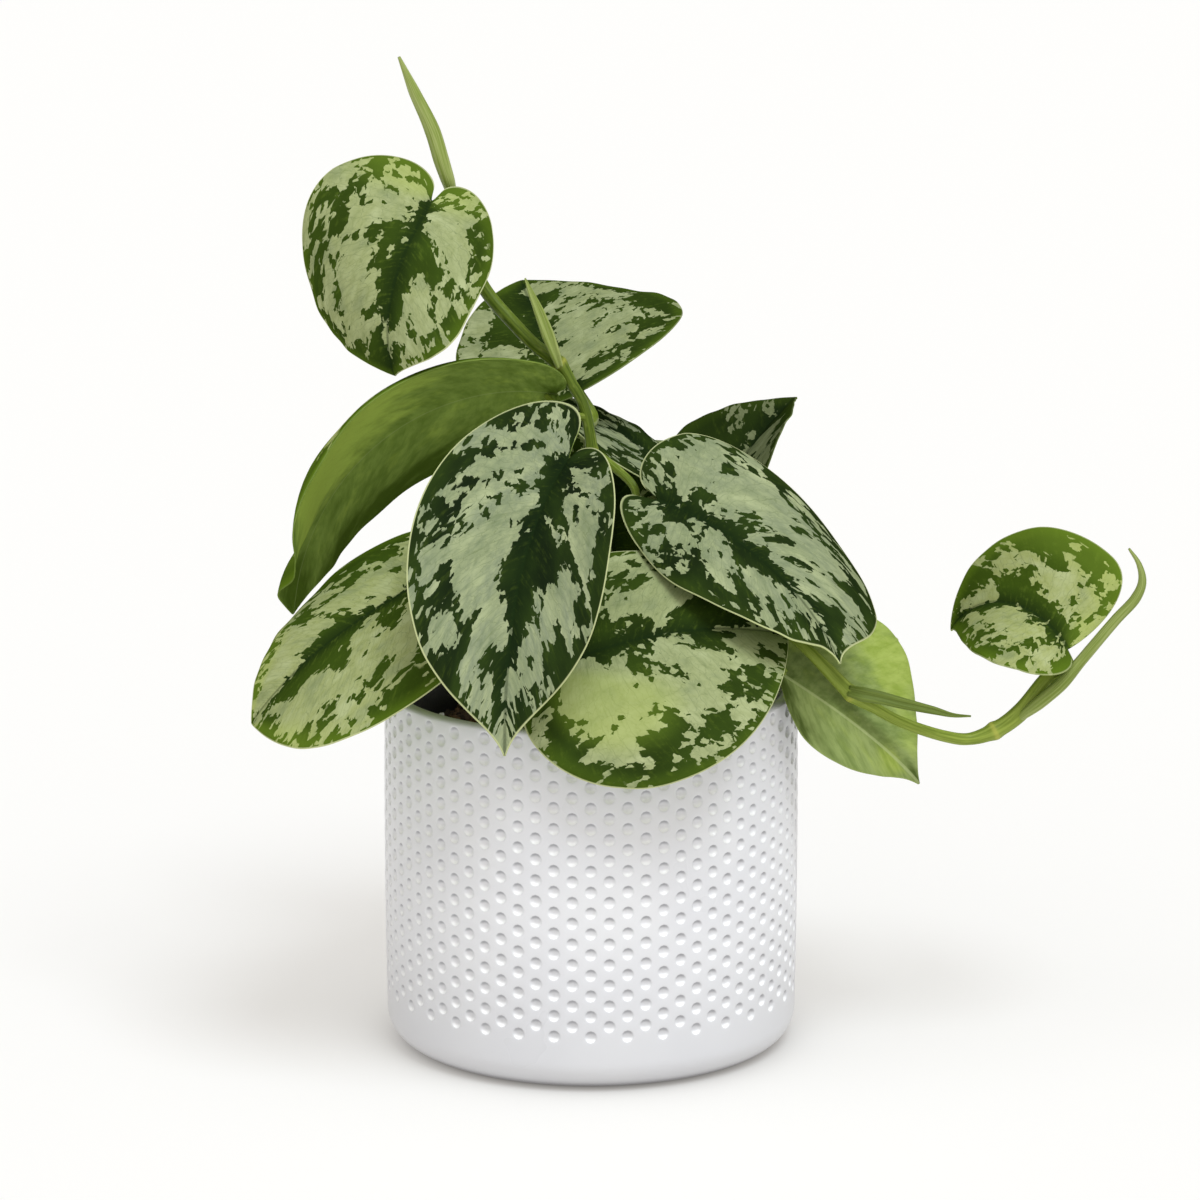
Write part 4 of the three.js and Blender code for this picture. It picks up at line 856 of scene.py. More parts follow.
class Shader:
    """A Principled material, with one short call for each kind of node."""

    def __init__(self, name, roughness, specular=0.0, coat=0.0, coat_roughness=0.1):
        self.material = bpy.data.materials.new(name)
        self.material.use_nodes = True
        self.nodes = self.material.node_tree.nodes
        self.links = self.material.node_tree.links
        self.bsdf = self.nodes["Principled BSDF"]
        for socket, value in {
                "Roughness": roughness, "Specular IOR Level": specular, "Coat Weight": coat,
                "Coat Roughness": coat_roughness}.items():
            self.bsdf.inputs[socket].default_value = value

    def feed(self, socket, value):
        """Links a node's value to a socket, or sets the socket. Three numbers are a colour from 0 to 255."""
        if isinstance(value, Value):
            self.links.new(value.socket, socket)
        else:
            socket.default_value = srgb(*value) if isinstance(value, tuple) and len(value) == 3 else value

    def node(self, kind, *values, output=0, **settings):
        """One output of a new node that has these settings and these first inputs."""
        node = self.nodes.new("ShaderNode" + kind)
        for name, setting in settings.items():
            setattr(node, name, setting)
        for socket, value in zip(node.inputs, values):
            self.feed(socket, value)
        return Value(self, node.outputs[output])

    def math(self, operation, *values):
        return self.node("Math", *values, operation=operation)

    def attribute(self, name, output="Fac"):
        return self.node("Attribute", attribute_name=name, output=output)

    def split(self, vector, kind="XYZ"):
        """The three numbers of a vector or a colour."""
        node = self.nodes.new("ShaderNodeSeparate" + kind)
        self.feed(node.inputs[0], vector)
        return [Value(self, socket) for socket in node.outputs]

    def position(self):
        """The object's own coordinates, in metres."""
        return self.node("TexCoord", output="Object")

    def texture(self, kind, place, output, inputs, **settings):
        """A texture at a place, which is a vector or a tuple of its numbers."""
        node = self.nodes.new("ShaderNodeTex" + kind)
        for name, setting in settings.items():
            setattr(node, name, setting)
        vector = self.node("CombineXYZ", *place) if isinstance(place, tuple) else place
        for socket, value in {"Vector": vector, **inputs}.items():
            self.feed(node.inputs[socket], value)
        return Value(self, node.outputs[output])

    def noise(self, place, scale=1.0, detail=2.0, rough=0.5):
        """Soft noise round 0, mostly between -0.5 and 0.5."""
        settings = {"Scale": scale, "Detail": detail, "Roughness": rough}
        return self.texture("Noise", place, 0, settings) * 2.0 - 1.0

    def cells(self, place, feature, output):
        """A net of uneven cells: the distance to the nearest wall, or a colour drawn for each cell."""
        return self.texture("Voronoi", place, output, {"Scale": 1.0}, feature=feature, voronoi_dimensions="2D")

    def smooth(self, value, low, high):
        """0 below low and 1 above high, or the other way round where low is the higher."""
        ends = (1.0, 0.0) if low > high else (0.0, 1.0)
        numbers = (value, min(low, high), max(low, high), *ends)
        return self.node("MapRange", *numbers, interpolation_type="SMOOTHSTEP")

    def blend(self, share, first, second):
        node = self.nodes.new("ShaderNodeMix")
        node.data_type = "RGBA"
        for socket, value in zip((node.inputs[0], node.inputs[6], node.inputs[7]), (share, first, second)):
            self.feed(socket, value)
        return Value(self, node.outputs[2])

    def layers(self, color, *coats):
        """A colour with others laid over it in turn, each by its share."""
        for share, coat in coats:
            color = self.blend(share, color, coat)
        return color

    def bump(self, height, strength, distance):
        node = self.nodes.new("ShaderNodeBump")
        for socket, value in {"Strength": strength, "Distance": distance, "Height": height}.items():
            self.feed(node.inputs[socket], value)
        self.links.new(node.outputs[0], self.bsdf.inputs["Normal"])

    def finish(self, color, roughness=None):
        self.feed(self.bsdf.inputs["Base Color"], color)
        if roughness is not None:
            self.feed(self.bsdf.inputs["Roughness"], roughness)
        return self.material


def srgb(red, green, blue):
    """A linear colour from the usual 0 to 255 values."""
    def linear(value):
        value /= 255
        return value / 12.92 if value <= 0.04045 else ((value + 0.055) / 1.055) ** 2.4
    return (linear(red), linear(green), linear(blue), 1.0)


# The fields between fine veins, which are silver or dark as a whole: how wide along the midrib, how long along
# the side veins, and how far they push a patch's edge. Some of the small ones stand out as flecks.
FIELDS = [(1.5, 1.8, 1.15), (3.6, 4.4, 1.0)]
FLECK_FIELD = FIELDS[0]
FLECK_SHARE = 0.018
FLECK_REACH = 3.5
MARGIN_FLECKS = 1.3
VEIN_GAP = 2.6
VEIN_WIDTH = 0.06
NET_WIDTH = 0.05
MARGIN_LINE = 0.18


def veins(shader):
    """What both faces of a blade share: its coordinates, unevenly bent ones, soft patches and fine veins."""
    at, wide, edge = shader.split(shader.attribute("vein", "Vector"))
    along = shader.attribute("along")
    bent_at = along + shader.noise((along, wide), 0.6, 2.0, 0.6) * 1.1
    bent_wide = wide + shader.noise((wide, along, 3.7), 0.6, 2.0, 0.6) * 1.1
    broad = shader.noise((at * 0.16, wide * 0.11), 1.0, 3.0, 0.6)
    phase = shader.math("FRACT", at / VEIN_GAP + shader.noise((at * 0.08, wide * 0.15)) * 0.7)
    net = shader.cells((bent_at * 0.6, bent_wide * 0.22), "DISTANCE_TO_EDGE", "Distance")
    vein = shader.math(
        "MAXIMUM", shader.smooth(abs(phase - 0.5), VEIN_WIDTH, 0.0), shader.smooth(net, NET_WIDTH, 0.0))
    return at, wide, edge, bent_at, bent_wide, broad, vein


def silver_share(shader, edge, bent_at, bent_wide, broad):
    """Where a blade is silver: inside its marks, whose edges step from field to field."""
    ragged = shader.attribute("silver")
    near_margin = shader.smooth(edge, 8.0, 1.0) * MARGIN_FLECKS + 1.0
    for field in FIELDS:
        width, length, reach = field
        place = (bent_at * (1 / width), bent_wide * (1 / length))
        chance, fleck, hole = shader.split(shader.cells(place, "F1", "Color"), "Color")
        ragged += (chance - 0.5) * (near_margin * (2 * reach))
        if field == FLECK_FIELD:
            flecks, holes = (shader.math("GREATER_THAN", number, 1 - FLECK_SHARE) for number in (fleck, hole))
            ragged += (flecks - holes) * FLECK_REACH
    return shader.smooth(ragged + broad, -0.1, 0.1)


def blade_top():
    """The silver-marked face: ragged patches that step along the side veins, and a pale margin line."""
    shader = Shader("blade_top", 0.5)
    at, wide, edge, bent_at, bent_wide, broad, vein = veins(shader)
    silver = silver_share(shader, edge, bent_at, bent_wide, broad)
    # shade in tone: painted shade over the whole blade, and below 0 painted light on its silver.
    warm, shade, cool = shader.split(shader.attribute("tone", "Vector"))
    # glow: painted light where light comes through the blade.
    glow = shader.smooth(shader.attribute("glow"), 0.0, 7.0)
    cloud = shader.smooth(shader.noise((at, wide), 0.07, 3.0), -0.35, 0.4)
    mottle = shader.noise((at, wide), 0.45, 3.0, 0.65)
    streak = shader.noise((at * 0.9, wide * 0.12), 1.0, 3.0, 0.6)
    lustre = shader.noise((at, wide), 0.12, 2.0)
    dark = shader.layers(
        (22, 32, 19),
        (cloud, (42, 58, 24)),
        (warm * 0.7, (76, 100, 22)),
        (shader.smooth(abs(wide), 7.0, 0.0) * 0.65, (22, 36, 18)),
        (shader.smooth(mottle + streak, 0.0, 0.8) * (warm * 0.45 + 0.2), (94, 114, 40)),
        (shader.smooth(edge, 5.0, 0.0) * warm * 0.7, (98, 124, 32)),
        (glow * 0.45, (102, 126, 40)))
    pale = shader.layers(
        (136, 146, 112),
        (warm, (162, 170, 98)),
        (cool * cloud * 0.8, (124, 134, 118)),
        (shader.smooth(shade, 0.0, -1.0), (204, 212, 150)),
        (shader.smooth(mottle, -0.4, 0.5) * 0.45, (174, 182, 136)),
        (shader.smooth(lustre, 0.0, 0.45) * 0.5, (184, 192, 146)),
        (shader.smooth(lustre, 0.0, -0.45) * 0.4, (108, 122, 92)),
        (shader.smooth(streak, 0.0, -0.7) * 0.5, (100, 116, 72)),
        (shader.smooth(mottle, -0.1, -0.6) * 0.45, (96, 112, 70)),
        (vein * shader.smooth(mottle, -0.5, 0.3) * 0.38, (82, 98, 56)),
        (glow * 0.4, (172, 186, 92)))
    color = shader.layers(
        dark,
        (silver, pale),
        (shader.smooth(abs(wide), 0.75, 0.2) * 0.5, (28, 44, 20)),
        (shader.smooth(edge, MARGIN_LINE + 0.15, MARGIN_LINE - 0.1) * shader.attribute("rim"), (188, 194, 142)),
        (shader.smooth(shade, 0.0, 1.0), (22, 30, 14)))
    shader.bump(vein * -0.5 + mottle * 0.3 + silver * 0.25, 0.35, 0.00015)
    return shader.finish(color, silver * 0.15 + 0.4 + mottle * 0.06)


def blade_under():
    """The plain green face below, with painted light where light comes through, painted shadow, and fine side
    veins.
    """
    shader = Shader("blade_under", 0.5)
    at, wide, edge, _, _, broad, vein = veins(shader)
    # shade in tone: painted shade over the whole blade.
    _, shade, cool = shader.split(shader.attribute("tone", "Vector"))
    mottle = shader.noise((at, wide), 0.3, 3.0, 0.6)
    streak = shader.noise((at * 0.5, wide * 0.1), 1.0, 3.0, 0.6)
    soft = shader.smooth(broad + mottle * 0.8 + streak * 0.3, -0.6, 0.6)
    # light: painted light where light comes through (glow) and painted shadow below 0 (gloom).
    light = shader.attribute("glow") + shader.noise((at * 0.09, wide * 0.12), 1.0, 3.0, 0.6) * 12.0
    glow, gloom = shader.smooth(light, -1.0, 11.0), shader.smooth(light, -1.0, -12.0)
    green = shader.layers(
        (108, 132, 54), (soft, (136, 160, 76)), (glow, (178, 202, 92)), (gloom, (80, 102, 34)))
    grey = shader.layers(
        (116, 134, 74), (soft, (150, 166, 102)), (glow, shader.blend(soft, (142, 162, 70), (170, 186, 98))),
        (gloom, (74, 90, 38)))
    color = shader.layers(
        green,
        (cool, grey),
        (vein * 0.1, (72, 90, 34)),
        (shader.smooth(abs(wide), 0.36, 0.12) * (cool * 0.3 + 0.18), (186, 198, 140)),
        (shader.smooth(edge, MARGIN_LINE + 0.1, MARGIN_LINE - 0.1) * shader.attribute("rim"), (160, 176, 104)),
        (shader.smooth(shade, 0.0, 1.2), (36, 48, 18)))
    shader.bump(vein * 0.5 + mottle * 0.4, 0.3, 0.00012)
    return shader.finish(color)


def stem_green():
    """Vines and petioles: yellow green and streaked, with pale wings and node rings."""
    shader = Shader("stem_green", 0.42, specular=0.15)
    run, across, up = shader.split(shader.attribute("stem", "Vector"))
    streaks = shader.noise((run * 0.06, across * 2.2, up * 2.2), 1.0, 3.0, 0.6)
    blotch = shader.noise((run * 0.2, across, up))
    wing = shader.blend(shader.smooth(streaks, -0.5, 0.4), (116, 134, 42), (158, 174, 76))
    color = shader.layers(
        (62, 82, 18),
        (shader.smooth(streaks, -0.5, 0.5), (112, 132, 44)),
        (shader.smooth(blotch, 0.1, 0.6), (134, 148, 68)),
        (shader.attribute("pale"), wing),
        (shader.attribute("ring") * 0.6, (184, 182, 84)))
    shader.bump(streaks, 0.25, 0.0002)
    return shader.finish(color)


def young_green():
    """Sheaths and rolled new leaves: pale, with fine lines along them."""
    shader = Shader("young_green", 0.45, specular=0.15)
    run, across, up = shader.split(shader.attribute("stem", "Vector"))
    lines = shader.noise((run * 0.05, across * 4.0, up * 4.0), 1.0, 3.0, 0.6)
    share = shader.smooth(lines, -0.4, 0.4)
    color = shader.layers(
        (78, 94, 30),
        (share, (106, 124, 48)),
        (shader.attribute("pale"), shader.blend(share, (128, 146, 58), (180, 190, 122))))
    shader.bump(lines, 0.3, 0.0002)
    return shader.finish(color)


def glaze():
    """Satin white glaze, faintly uneven, with painted shade low down, painted shade and highlight in its
    dimples, and a painted contact shadow on its foot.
    """
    shader = Shader("satin_glaze", 0.3, specular=0.45, coat=0.15, coat_roughness=0.2)
    place = shader.position()
    cloud, speck = shader.noise(place, 28.0, 3.0), shader.noise(place, 900.0, 2.0)
    height = shader.split(place)[2]
    # wall: painted shade on the dimples' upper sides, painted highlight on their lower sides, and a painted
    # contact shadow on the foot.
    wall = shader.attribute("shade")
    color = shader.layers(
        (220, 220, 223),
        (shader.smooth(cloud, -0.4, 0.4), (225, 225, 227)),
        (shader.smooth(speck, 0.45, 0.7) * 0.12, (206, 204, 200)),
        # painted shade on the pot below 60 mm
        (shader.smooth(height, 0.06, 0.01) * 0.45, (196, 196, 199)),
        (shader.smooth(wall, 0.0, 1.0), (160, 160, 164)),
        (shader.smooth(wall, 0.0, -1.0), (255, 255, 255)),
        (shader.smooth(wall, 1.0, 2.6), (70, 66, 62)))
    shader.bump(cloud + speck * 0.05, 0.06, 0.0006)
    return shader.finish(color, cloud * 0.08 + 0.3)


def nursery_plastic():
    """Black blow-moulded plastic with a little dust."""
    shader = Shader("nursery_plastic", 0.5, specular=0.4)
    place = shader.position()
    dust = shader.noise(place, 180.0, 4.0, 0.65)
    shader.bump(shader.noise(place, 1400.0, 2.0), 0.3, 0.0002)
    color = shader.blend(shader.smooth(dust, 0.0, 0.7), (22, 21, 20), (62, 56, 48))
    return shader.finish(color, dust * 0.15 + 0.48)


def potting_mix():
    """Peat crumbs of several browns, and white perlite."""
    shader = Shader("potting_mix", 0.95, specular=0.2)
    bit = shader.attribute("bit")
    fine = shader.noise(shader.position(), 700.0, 4.0, 0.7)
    color = shader.layers(
        (38, 28, 20),
        (shader.smooth(bit + fine * 0.3, 0.0, 0.9), (92, 68, 46)),
        (shader.smooth(bit, 1.5, 1.6), (214, 208, 196)))
    shader.bump(fine, 0.8, 0.0008)
    return shader.finish(color)


def floor_paper():
    """Pale paper, with a painted contact shadow close to the pot's foot."""
    shader = Shader("pale_floor", 0.8)
    away = shader.node("VectorMath", shader.position(), operation="LENGTH", output="Value")
    gap = away - FOOT_RADIUS * MM
    # painted contact shadow round the pot's foot, on both the paper's colour and its glow
    shade = sum(shader.math("EXPONENT", gap / -reach) * share for share, reach in FLOOR_SHADE)
    shader.feed(shader.bsdf.inputs["Emission Color"], shader.blend(shade, FLOOR_GLOW, FLOOR_SHADE_COLOR))
    shader.bsdf.inputs["Emission Strength"].default_value = FLOOR_GLOW_STRENGTH
    return shader.finish(shader.blend(shade, FLOOR_COLOR, FLOOR_SHADE_COLOR))


# ---------- the ceramic pot ----------
def pot_radius(z):
    return POT_RADIUS - POT_SWELL * ((z - POT_SWELL_Z) / (POT_HEIGHT - POT_SWELL_Z)) ** 2


# Twelve places round a dimple's cell, in sixths of a column and of a row, counterclockwise.
CELL = [
    (4, 0), (3, 3), (2, 6), (0, 6), (-2, 6), (-3, 3), (-4, 0), (-3, -3), (-2, -6), (0, -6), (2, -6), (3, -3)]
# Rings of a dimple from its rim inwards: share of its radius, share of its depth, and how strong its painted
# shade (upper side) and painted highlight (lower side) are.
DIMPLE_RINGS = [
    (1.2, 0.0, 0.0), (1.04, 0.05, 0.25), (0.92, 0.24, 1.0), (0.74, 0.56, 1.0), (0.5, 0.83, 0.55),
    (0.25, 0.96, 0.2)]


def ceramic_pot(material):
    """The pot with its lattice of round dimples, a foot ring, a rounded lip and a plain inside."""
    points, faces, shades, shared = [], [], [], {}
    turn = 2 * math.pi / DIMPLE_COLUMNS
    around = 6 * DIMPLE_COLUMNS
    last = 6 * (DIMPLE_ROWS - 1)
    last_z = DIMPLE_FIRST_Z + last / 6 * DIMPLE_STEP_Z

    def add(angle, radius, z, shade=0.0):
        points.append((radius * math.cos(angle), radius * math.sin(angle), z))
        shades.append(shade)
        return len(points) - 1

    def corner(u, w):
        key = (u % around, w)
        if key not in shared:
            step = DIMPLE_TOP_Z - last_z if w > last else DIMPLE_STEP_Z
            z = DIMPLE_FIRST_Z + min(w, last) / 6 * DIMPLE_STEP_Z + max(w - last, 0) / 6 * step
            shared[key] = add(key[0] / 6 * turn, pot_radius(z), z)
        return shared[key]

    def bridge(low, high):
        size = len(low)
        faces.extend([low[k], low[(k + 1) % size], high[(k + 1) % size], high[k]] for k in range(size))

    for row in range(DIMPLE_ROWS):
        for column in range(row % 2, DIMPLE_COLUMNS, 2):
            middle_z = DIMPLE_FIRST_Z + row * DIMPLE_STEP_Z
            middle = column * turn
            outer = [corner(6 * column + u, 6 * row + w) for u, w in CELL]
            bearings = [math.atan2(w / 6 * DIMPLE_STEP_Z, u / 6 * turn * POT_RADIUS) for u, w in CELL]
            # Each ring gets painted shade on the dimple's upper side and a painted highlight on its lower side;
            # the hub a little painted shade.
            for reach, sunk, wall in DIMPLE_RINGS:
                inner = []
                for bearing in bearings:
                    out = reach * DIMPLE_RADIUS
                    z = middle_z + out * math.sin(bearing)
                    angle = middle + out * math.cos(bearing) / POT_RADIUS
                    inner.append(add(angle, pot_radius(z) - sunk * DIMPLE_DEPTH, z, wall * math.sin(bearing)))
                bridge(outer, inner)
                outer = inner
            hub = add(middle, pot_radius(middle_z) - DIMPLE_DEPTH, middle_z, 0.1)
            faces.extend([outer[k], outer[(k + 1) % len(CELL)], hub] for k in range(len(CELL)))

    chain = [(-4, 0), (-3, -3), (-2, -6), (0, -6), (2, -6), (3, -3), (4, 0), (6, 0)]
    lowest = [(12 * k + u, w) for k in range(DIMPLE_COLUMNS // 2) for u, w in chain]
    angles = [u / 6 * turn for u, _ in lowest]

    def ring(radius, z, shade=0.0):
        return [add(angle, radius, z, shade) for angle in angles]

    def join(rings):
        for low, high in zip(rings, rings[1:]):
            bridge(low, high)

    # The foot's rings carry a painted contact shadow, darkest at the ground.
    below = [ring(FOOT_RADIUS - FOOT_RING - 1, FOOT_RECESS), ring(FOOT_RADIUS - FOOT_RING, 0.3),
             ring(FOOT_RADIUS - FOOT_RING + 0.6, 0), ring(FOOT_RADIUS - 0.4, 0, 3.0)]
    shoulder = pot_radius(SHOULDER_Z)
    for k in range(1, 13):
        angle = k / 12 * math.pi / 2
        below.append(ring(FOOT_RADIUS + (shoulder - FOOT_RADIUS) * math.sin(angle),
                          SHOULDER_Z * (1 - math.cos(angle)), 3 * math.exp(-(k / 4.2) ** 2)))
    join(below + [[corner(u, w) for u, w in lowest]])
    hub = add(0, 0, FOOT_RECESS)
    faces.extend([hub, below[0][(k + 1) % len(angles)], below[0][k]] for k in range(len(angles)))

    upper = [[corner(u, last - w) for u, w in lowest]]
    outside = pot_radius(POT_HEIGHT)
    inside = outside - POT_WALL
    lip, lip_z = POT_WALL / 2, POT_HEIGHT - LIP_RISE
    for k in range(LIP_STEPS + 1):
        angle = math.pi * k / LIP_STEPS
        upper.append(ring(outside - lip + lip * math.cos(angle), lip_z + LIP_RISE * math.sin(angle)))
    for k in range(1, 9):
        upper.append(ring(inside, lip_z - k / 8 * (lip_z - POT_FLOOR - INNER_CORNER)))
    for k in range(1, 5):
        angle = k / 4 * math.pi / 2
        upper.append(ring(inside - INNER_CORNER * (1 - math.cos(angle)),
                          POT_FLOOR + INNER_CORNER * (1 - math.sin(angle))))
    upper.append(ring(inside / 2, POT_FLOOR))
    join(upper)
    hub = add(0, 0, POT_FLOOR)
    faces.extend([hub, upper[-1][k], upper[-1][(k + 1) % len(angles)]] for k in range(len(angles)))
    piece = solid("glazed_pot", points, faces, [material], values={"shade": shades})
    dress(piece, "glaze", "ceramic_pot")


# ---------- the nursery pot and its mix ----------
def grow_radius(z):
    return GROW_BASE_RADIUS + (GROW_TOP_RADIUS - GROW_BASE_RADIUS) * (z - GROW_BASE_Z) / GROW_HEIGHT


def turned(profile, sides):
    """A closed surface turned from its profile of (radius, z), from the axis and back to it."""
    angle = np.arange(sides) * 2 * math.pi / sides
    rings = [np.stack([r * np.cos(angle), r * np.sin(angle), np.full(sides, z)], -1)
             for r, z in profile[1:-1]]
    ends = [(0, 0, profile[0][1]), (0, 0, profile[-1][1])]
    return np.concatenate(rings + [np.array(ends, float)]), ring_faces(len(rings), sides)


def grow_pot(material):
    top = GROW_BASE_Z + GROW_HEIGHT
    band = top - GROW_LIP_BAND
    inner = grow_radius(top) - GROW_WALL
    profile = [(0, GROW_BASE_Z), (GROW_BASE_RADIUS - 1, GROW_BASE_Z), (GROW_BASE_RADIUS, GROW_BASE_Z + 1)]
    profile += [(grow_radius(band) - 0.1, band - 0.6), (grow_radius(band) + 0.5, band)]
    profile += [(grow_radius(band) + GROW_LIP - 0.4, band), (grow_radius(band) + GROW_LIP, band + 0.4)]
    profile += [(GROW_TOP_RADIUS + GROW_LIP, top - 0.5), (GROW_TOP_RADIUS + GROW_LIP - 0.5, top)]
    profile += [(inner + 0.4, top), (inner, top - 0.5)]
    profile += [(grow_radius(band) - GROW_WALL, band)]
    profile += [(grow_radius(GROW_BASE_Z + 2) - GROW_WALL, GROW_BASE_Z + 2), (0, GROW_BASE_Z + GROW_WALL)]
    points, faces = turned(profile, GROW_SIDES)
    piece = solid("nursery_pot", points, faces, [material])
    dress(piece, "nursery_plastic", "grow_pot")


def soil_height(radius):
    """The mound falls slowly as far as 28 mm out, then faster, and dips below its level at the wall."""
    level = grow_radius(SOIL_TOP_Z) - 6.5
    return float(SOIL_TOP_Z + np.interp(radius, (0, 28, level, 60), (SOIL_CROWN, 1.4, 0, -2.4)))


def soil_bump(point):
    return SOIL_BUMPS * noise.fractal(Vector(point) * SOIL_GRAIN, 0.7, 2.1, 4)


def potting_soil(material):
    """A mound of loose mix: an uneven surface, with crumbs and perlite lying in it."""
    skin = Skin()
    bottom = GROW_BASE_Z + GROW_WALL + SOIL_GAP
    edge = grow_radius(SOIL_TOP_Z - SOIL_CROWN) - GROW_WALL - SOIL_GAP
    angle = np.arange(SOIL_SIDES) * 2 * math.pi / SOIL_SIDES
    low = grow_radius(bottom) - GROW_WALL - SOIL_GAP
    profile = [(0, bottom), (low, bottom)]
    profile += [(r, soil_height(r)) for r in np.linspace(edge, 0.6, SOIL_RINGS)]
    profile += [(0, SOIL_TOP_Z + SOIL_CROWN)]
    points, faces = turned(profile, SOIL_SIDES)
    for point in points:
        if point[2] > SOIL_TOP_Z - 5:
            point[2] += soil_bump(point)
    skin.add(points, faces, bit=np.full(len(points), SOIL_TONE))
    draw = np.random.default_rng(7)
    crumb = crumb_shape()
    for _ in range(CRUMBS):
        reach = (edge - 2.5) * math.sqrt(draw.random())
        bearing = draw.uniform(0, 2 * math.pi)
        pearl = draw.random() < PERLITE_SHARE
        size = draw.uniform(*(PERLITE_SIZES if pearl else CRUMB_SIZES))
        stretch = draw.uniform(0.6, 1.4, 3) * size
        spin = draw.uniform(0, 2 * math.pi)
        shape = crumb[0] * stretch * draw.uniform(0.8, 1.2, (len(crumb[0]), 1))
        turned_shape = shape @ np.array([
            [math.cos(spin), math.sin(spin), 0], [-math.sin(spin), math.cos(spin), 0], [0, 0, 1]])
        ground = (reach * math.cos(bearing), reach * math.sin(bearing), soil_height(reach))
        at = (*ground[:2], ground[2] + soil_bump(ground) + 0.25 * size)
        bit = PERLITE_TONE if pearl else draw.uniform(0, 1)
        skin.add(turned_shape + at, crumb[1], bit=np.full(len(shape), bit))
    piece = skin.build("potting_mix_mound", [material])
    dress(piece, "soil", "potting_soil")


def crumb_shape():
    """The twelve points and twenty faces of an icosahedron of radius 1."""
    g = (1 + math.sqrt(5)) / 2
    points = [(-1, g, 0), (1, g, 0), (-1, -g, 0), (1, -g, 0), (0, -1, g), (0, 1, g),
              (0, -1, -g), (0, 1, -g), (g, 0, -1), (g, 0, 1), (-g, 0, -1), (-g, 0, 1)]
    faces = [(0, 11, 5), (0, 5, 1), (0, 1, 7), (0, 7, 10), (0, 10, 11), (1, 5, 9), (5, 11, 4),
             (11, 10, 2), (10, 7, 6), (7, 1, 8), (3, 9, 4), (3, 4, 2), (3, 2, 6), (3, 6, 8), (3, 8, 9),
             (4, 9, 5), (2, 4, 11), (6, 2, 10), (8, 6, 7), (9, 8, 1)]
    return unit(np.array(points, float)), [list(face) for face in faces]


# ---------- vines, petioles, sheaths and rolled leaves ----------
def petiole_stations(start, via, blade, first, last):
    """The points of a petiole with a radius at each, thinner towards the blade."""
    points = [*start, *via, *blade.seat()]
    count = len(points) - 1
    return [(*point, mix((first, last), i / count)) for i, point in enumerate(points)]


def vine(name, stations, up, pale, petioles, nodes, blades, material, node):
    skin = Skin()
    tube(skin, Route(stations, VINE_STEPS * len(stations)), round_section, up, pale, nodes)
    for leaf, start, via in petioles:
        stations = petiole_stations([start], via, blades[leaf], PETIOLE_RADIUS, SEAT_RADIUS)
        tube(skin, Route(stations, PETIOLE_STEPS), channel_section, (0, 0, 1), 0.35)
    dress(skin.build(name, [material]), "stem", node)


def crown_petiole(leaf, foot, via, blade, material):
    name = leaf.replace("leaf_", "petiole_")
    low = SOIL_TOP_Z - HOLE_DEPTH + SEAT_GAP
    start = [(*foot, low), (*foot, SOIL_TOP_Z + 3), (*foot, SOIL_TOP_Z + 7)]
    stations = petiole_stations(start, via, blade, PETIOLE_FOOT_RADIUS, SEAT_RADIUS)
    stations[:3] = [(*point, PETIOLE_FOOT_RADIUS) for point in start]
    skin = Skin()
    tube(skin, Route(stations, CROWN_PETIOLE_STEPS), channel_section, (0.3, 0.2, 1), 0.25)
    dress(skin.build("stalk_" + name, [material]), "stem", name)


def young_piece(name, stations, section, up, pale, material, node):
    skin = Skin()
    tube(skin, Route(stations, YOUNG_STEPS), section, up, pale)
    dress(skin.build(name, [material]), "young_leaf", node)


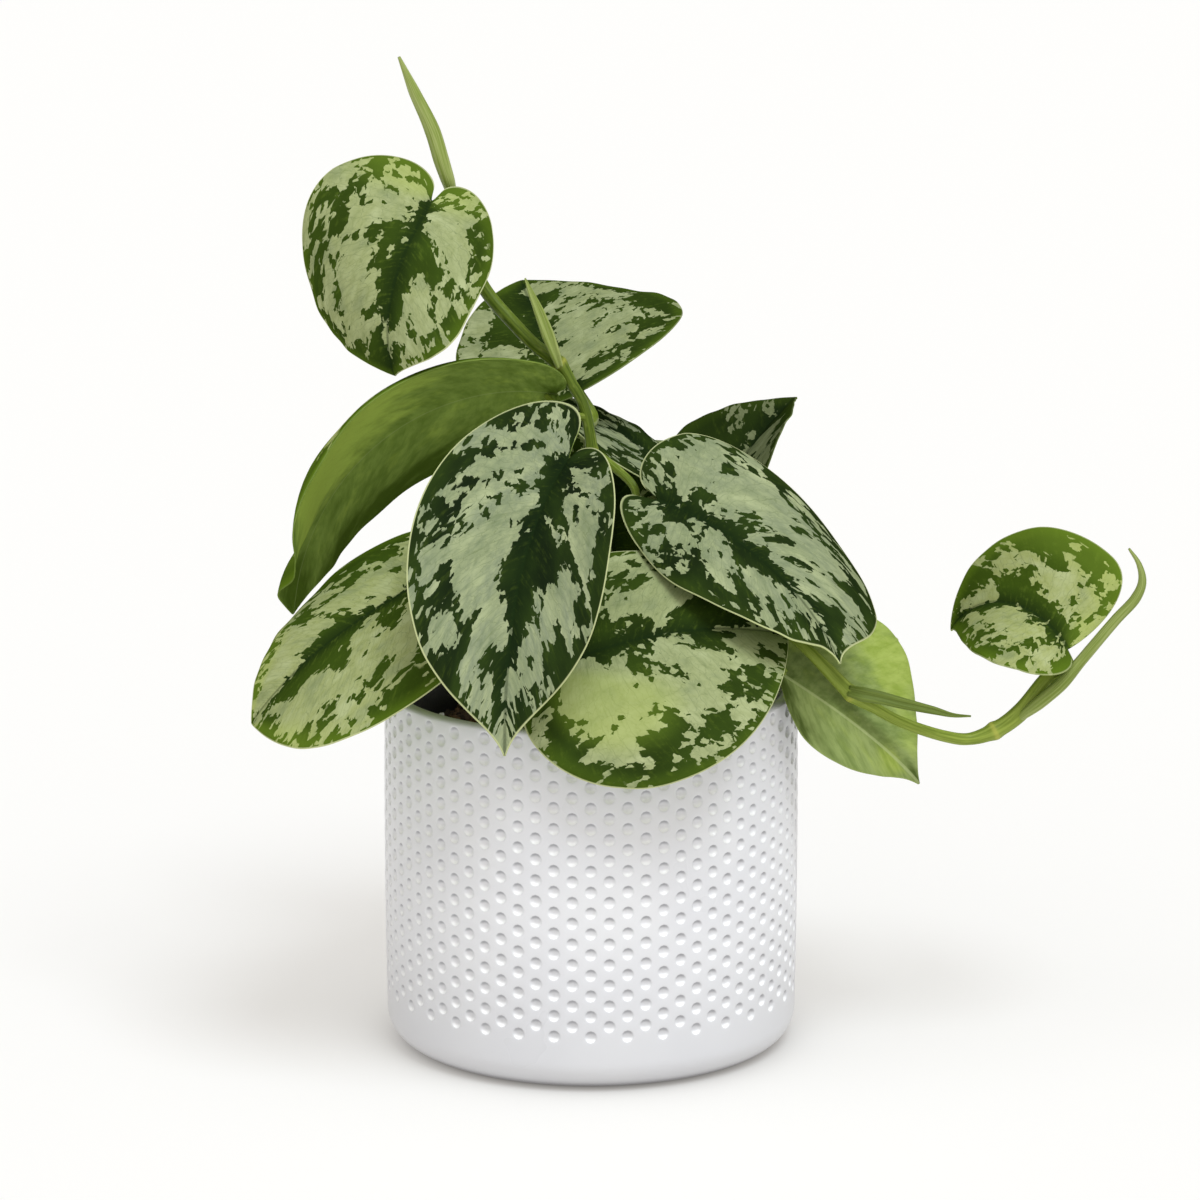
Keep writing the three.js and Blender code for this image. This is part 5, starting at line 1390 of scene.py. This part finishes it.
# ---------- everything in place ----------
def build_plant():
    ceramic_pot(glaze())
    grow_pot(nursery_plastic())
    potting_soil(potting_mix())
    faces = [blade_top(), blade_under()]
    blades = {}
    for index, (name, leaf) in enumerate(LEAVES.items()):
        blades[name] = Blade(leaf)
        look = LOOKS[name]
        if "silver" not in look:
            look["silver"], look["dark"] = plain_marks(40 + index)
        piece = blade_piece(name.replace("leaf_", "blade_"), leaf, look, index, faces)
        dress(piece, "blade_underside" if leaf.get("underside") else "blade", name)
    green, young = stem_green(), young_green()
    vine("climbing_stem", CLIMBING_VINE, (0, -1, 0.3), 0.05, CLIMBING_PETIOLES, CLIMBING_NODES, blades,
         green, "climbing_vine")
    vine("trailing_stem", TRAILING_VINE, (0, 0, 1), 0.7, TRAILING_PETIOLES, TRAILING_NODES, blades,
         green, "trailing_vine")
    for leaf, foot, via in CROWN_PETIOLES:
        crown_petiole(leaf, foot, via, blades[leaf], green)
    for name, node, stations, section, up, pale in [
            ("climbing_papery_sheath", "climbing_sheath", CLIMBING_SHEATH, sheath_section, (0.4, -1, 0.2), 0.75),
            ("climbing_rolled_leaf", "climbing_new_leaf", CLIMBING_SPIKE, rolled_section, (0.3, -1, 0), 0.8),
            ("trailing_papery_sheath", "trailing_sheath", TRAILING_SHEATH, sheath_section, (0, -1, 0.35), 0.1),
            ("trailing_rolled_leaf", "trailing_new_leaf", TRAILING_SPIKE, rolled_section, (0, -1, 0.5), 0.55)]:
        young_piece(name, stations, section, up, pale, young, node)


def build_stage():
    """A pale floor without an end, a white room, and soft light from above and in front."""
    mesh = bpy.data.meshes.new("floor")
    corners = [(x * FLOOR_HALF, y * FLOOR_HALF, 0) for x, y in ((-1, -1), (1, -1), (1, 1), (-1, 1))]
    mesh.from_pydata(corners, [], [(0, 1, 2, 3)])
    mesh.materials.append(floor_paper())
    floor = bpy.data.objects.new("floor", mesh)
    bpy.context.scene.collection.objects.link(floor)
    world = bpy.data.worlds.new("white_room")
    world.use_nodes = True
    nodes, links = world.node_tree.nodes, world.node_tree.links
    split = nodes.new("ShaderNodeSeparateXYZ")
    share = nodes.new("ShaderNodeMapRange")
    room = nodes.new("ShaderNodeMix")
    room.data_type = "RGBA"
    share.inputs["From Min"].default_value = -1
    room.inputs[6].default_value = ROOM_FRONT
    room.inputs[7].default_value = ROOM_BACK
    links.new(nodes.new("ShaderNodeTexCoord").outputs["Generated"], split.inputs[0])
    links.new(split.outputs["Y"], share.inputs["Value"])
    links.new(share.outputs[0], room.inputs[0])
    links.new(room.outputs[2], nodes["Background"].inputs["Color"])
    bpy.context.scene.world = world
    for name, source, width, power, color in SUNS:
        light = bpy.data.lights.new(name, "SUN")
        light.energy = power
        light.color = color
        light.angle = math.radians(width)
        lamp = bpy.data.objects.new(name, light)
        lamp.rotation_euler = Vector(source).to_track_quat("Z", "Y").to_euler()
        bpy.context.scene.collection.objects.link(lamp)
    bpy.context.scene.view_settings.view_transform = "Standard"


def build_camera():
    data = bpy.data.cameras.new("camera")
    data.lens = LENS
    data.sensor_width = SENSOR
    data.clip_end = VIEW_DEPTH
    camera = bpy.data.objects.new("camera", data)
    camera.location = Vector(CAMERA_AT) * MM
    camera.rotation_euler = (math.radians(90 - CAMERA_DOWN), 0, 0)
    bpy.context.scene.collection.objects.link(camera)
    bpy.context.scene.camera = camera


build_camera()
build_stage()
build_plant()
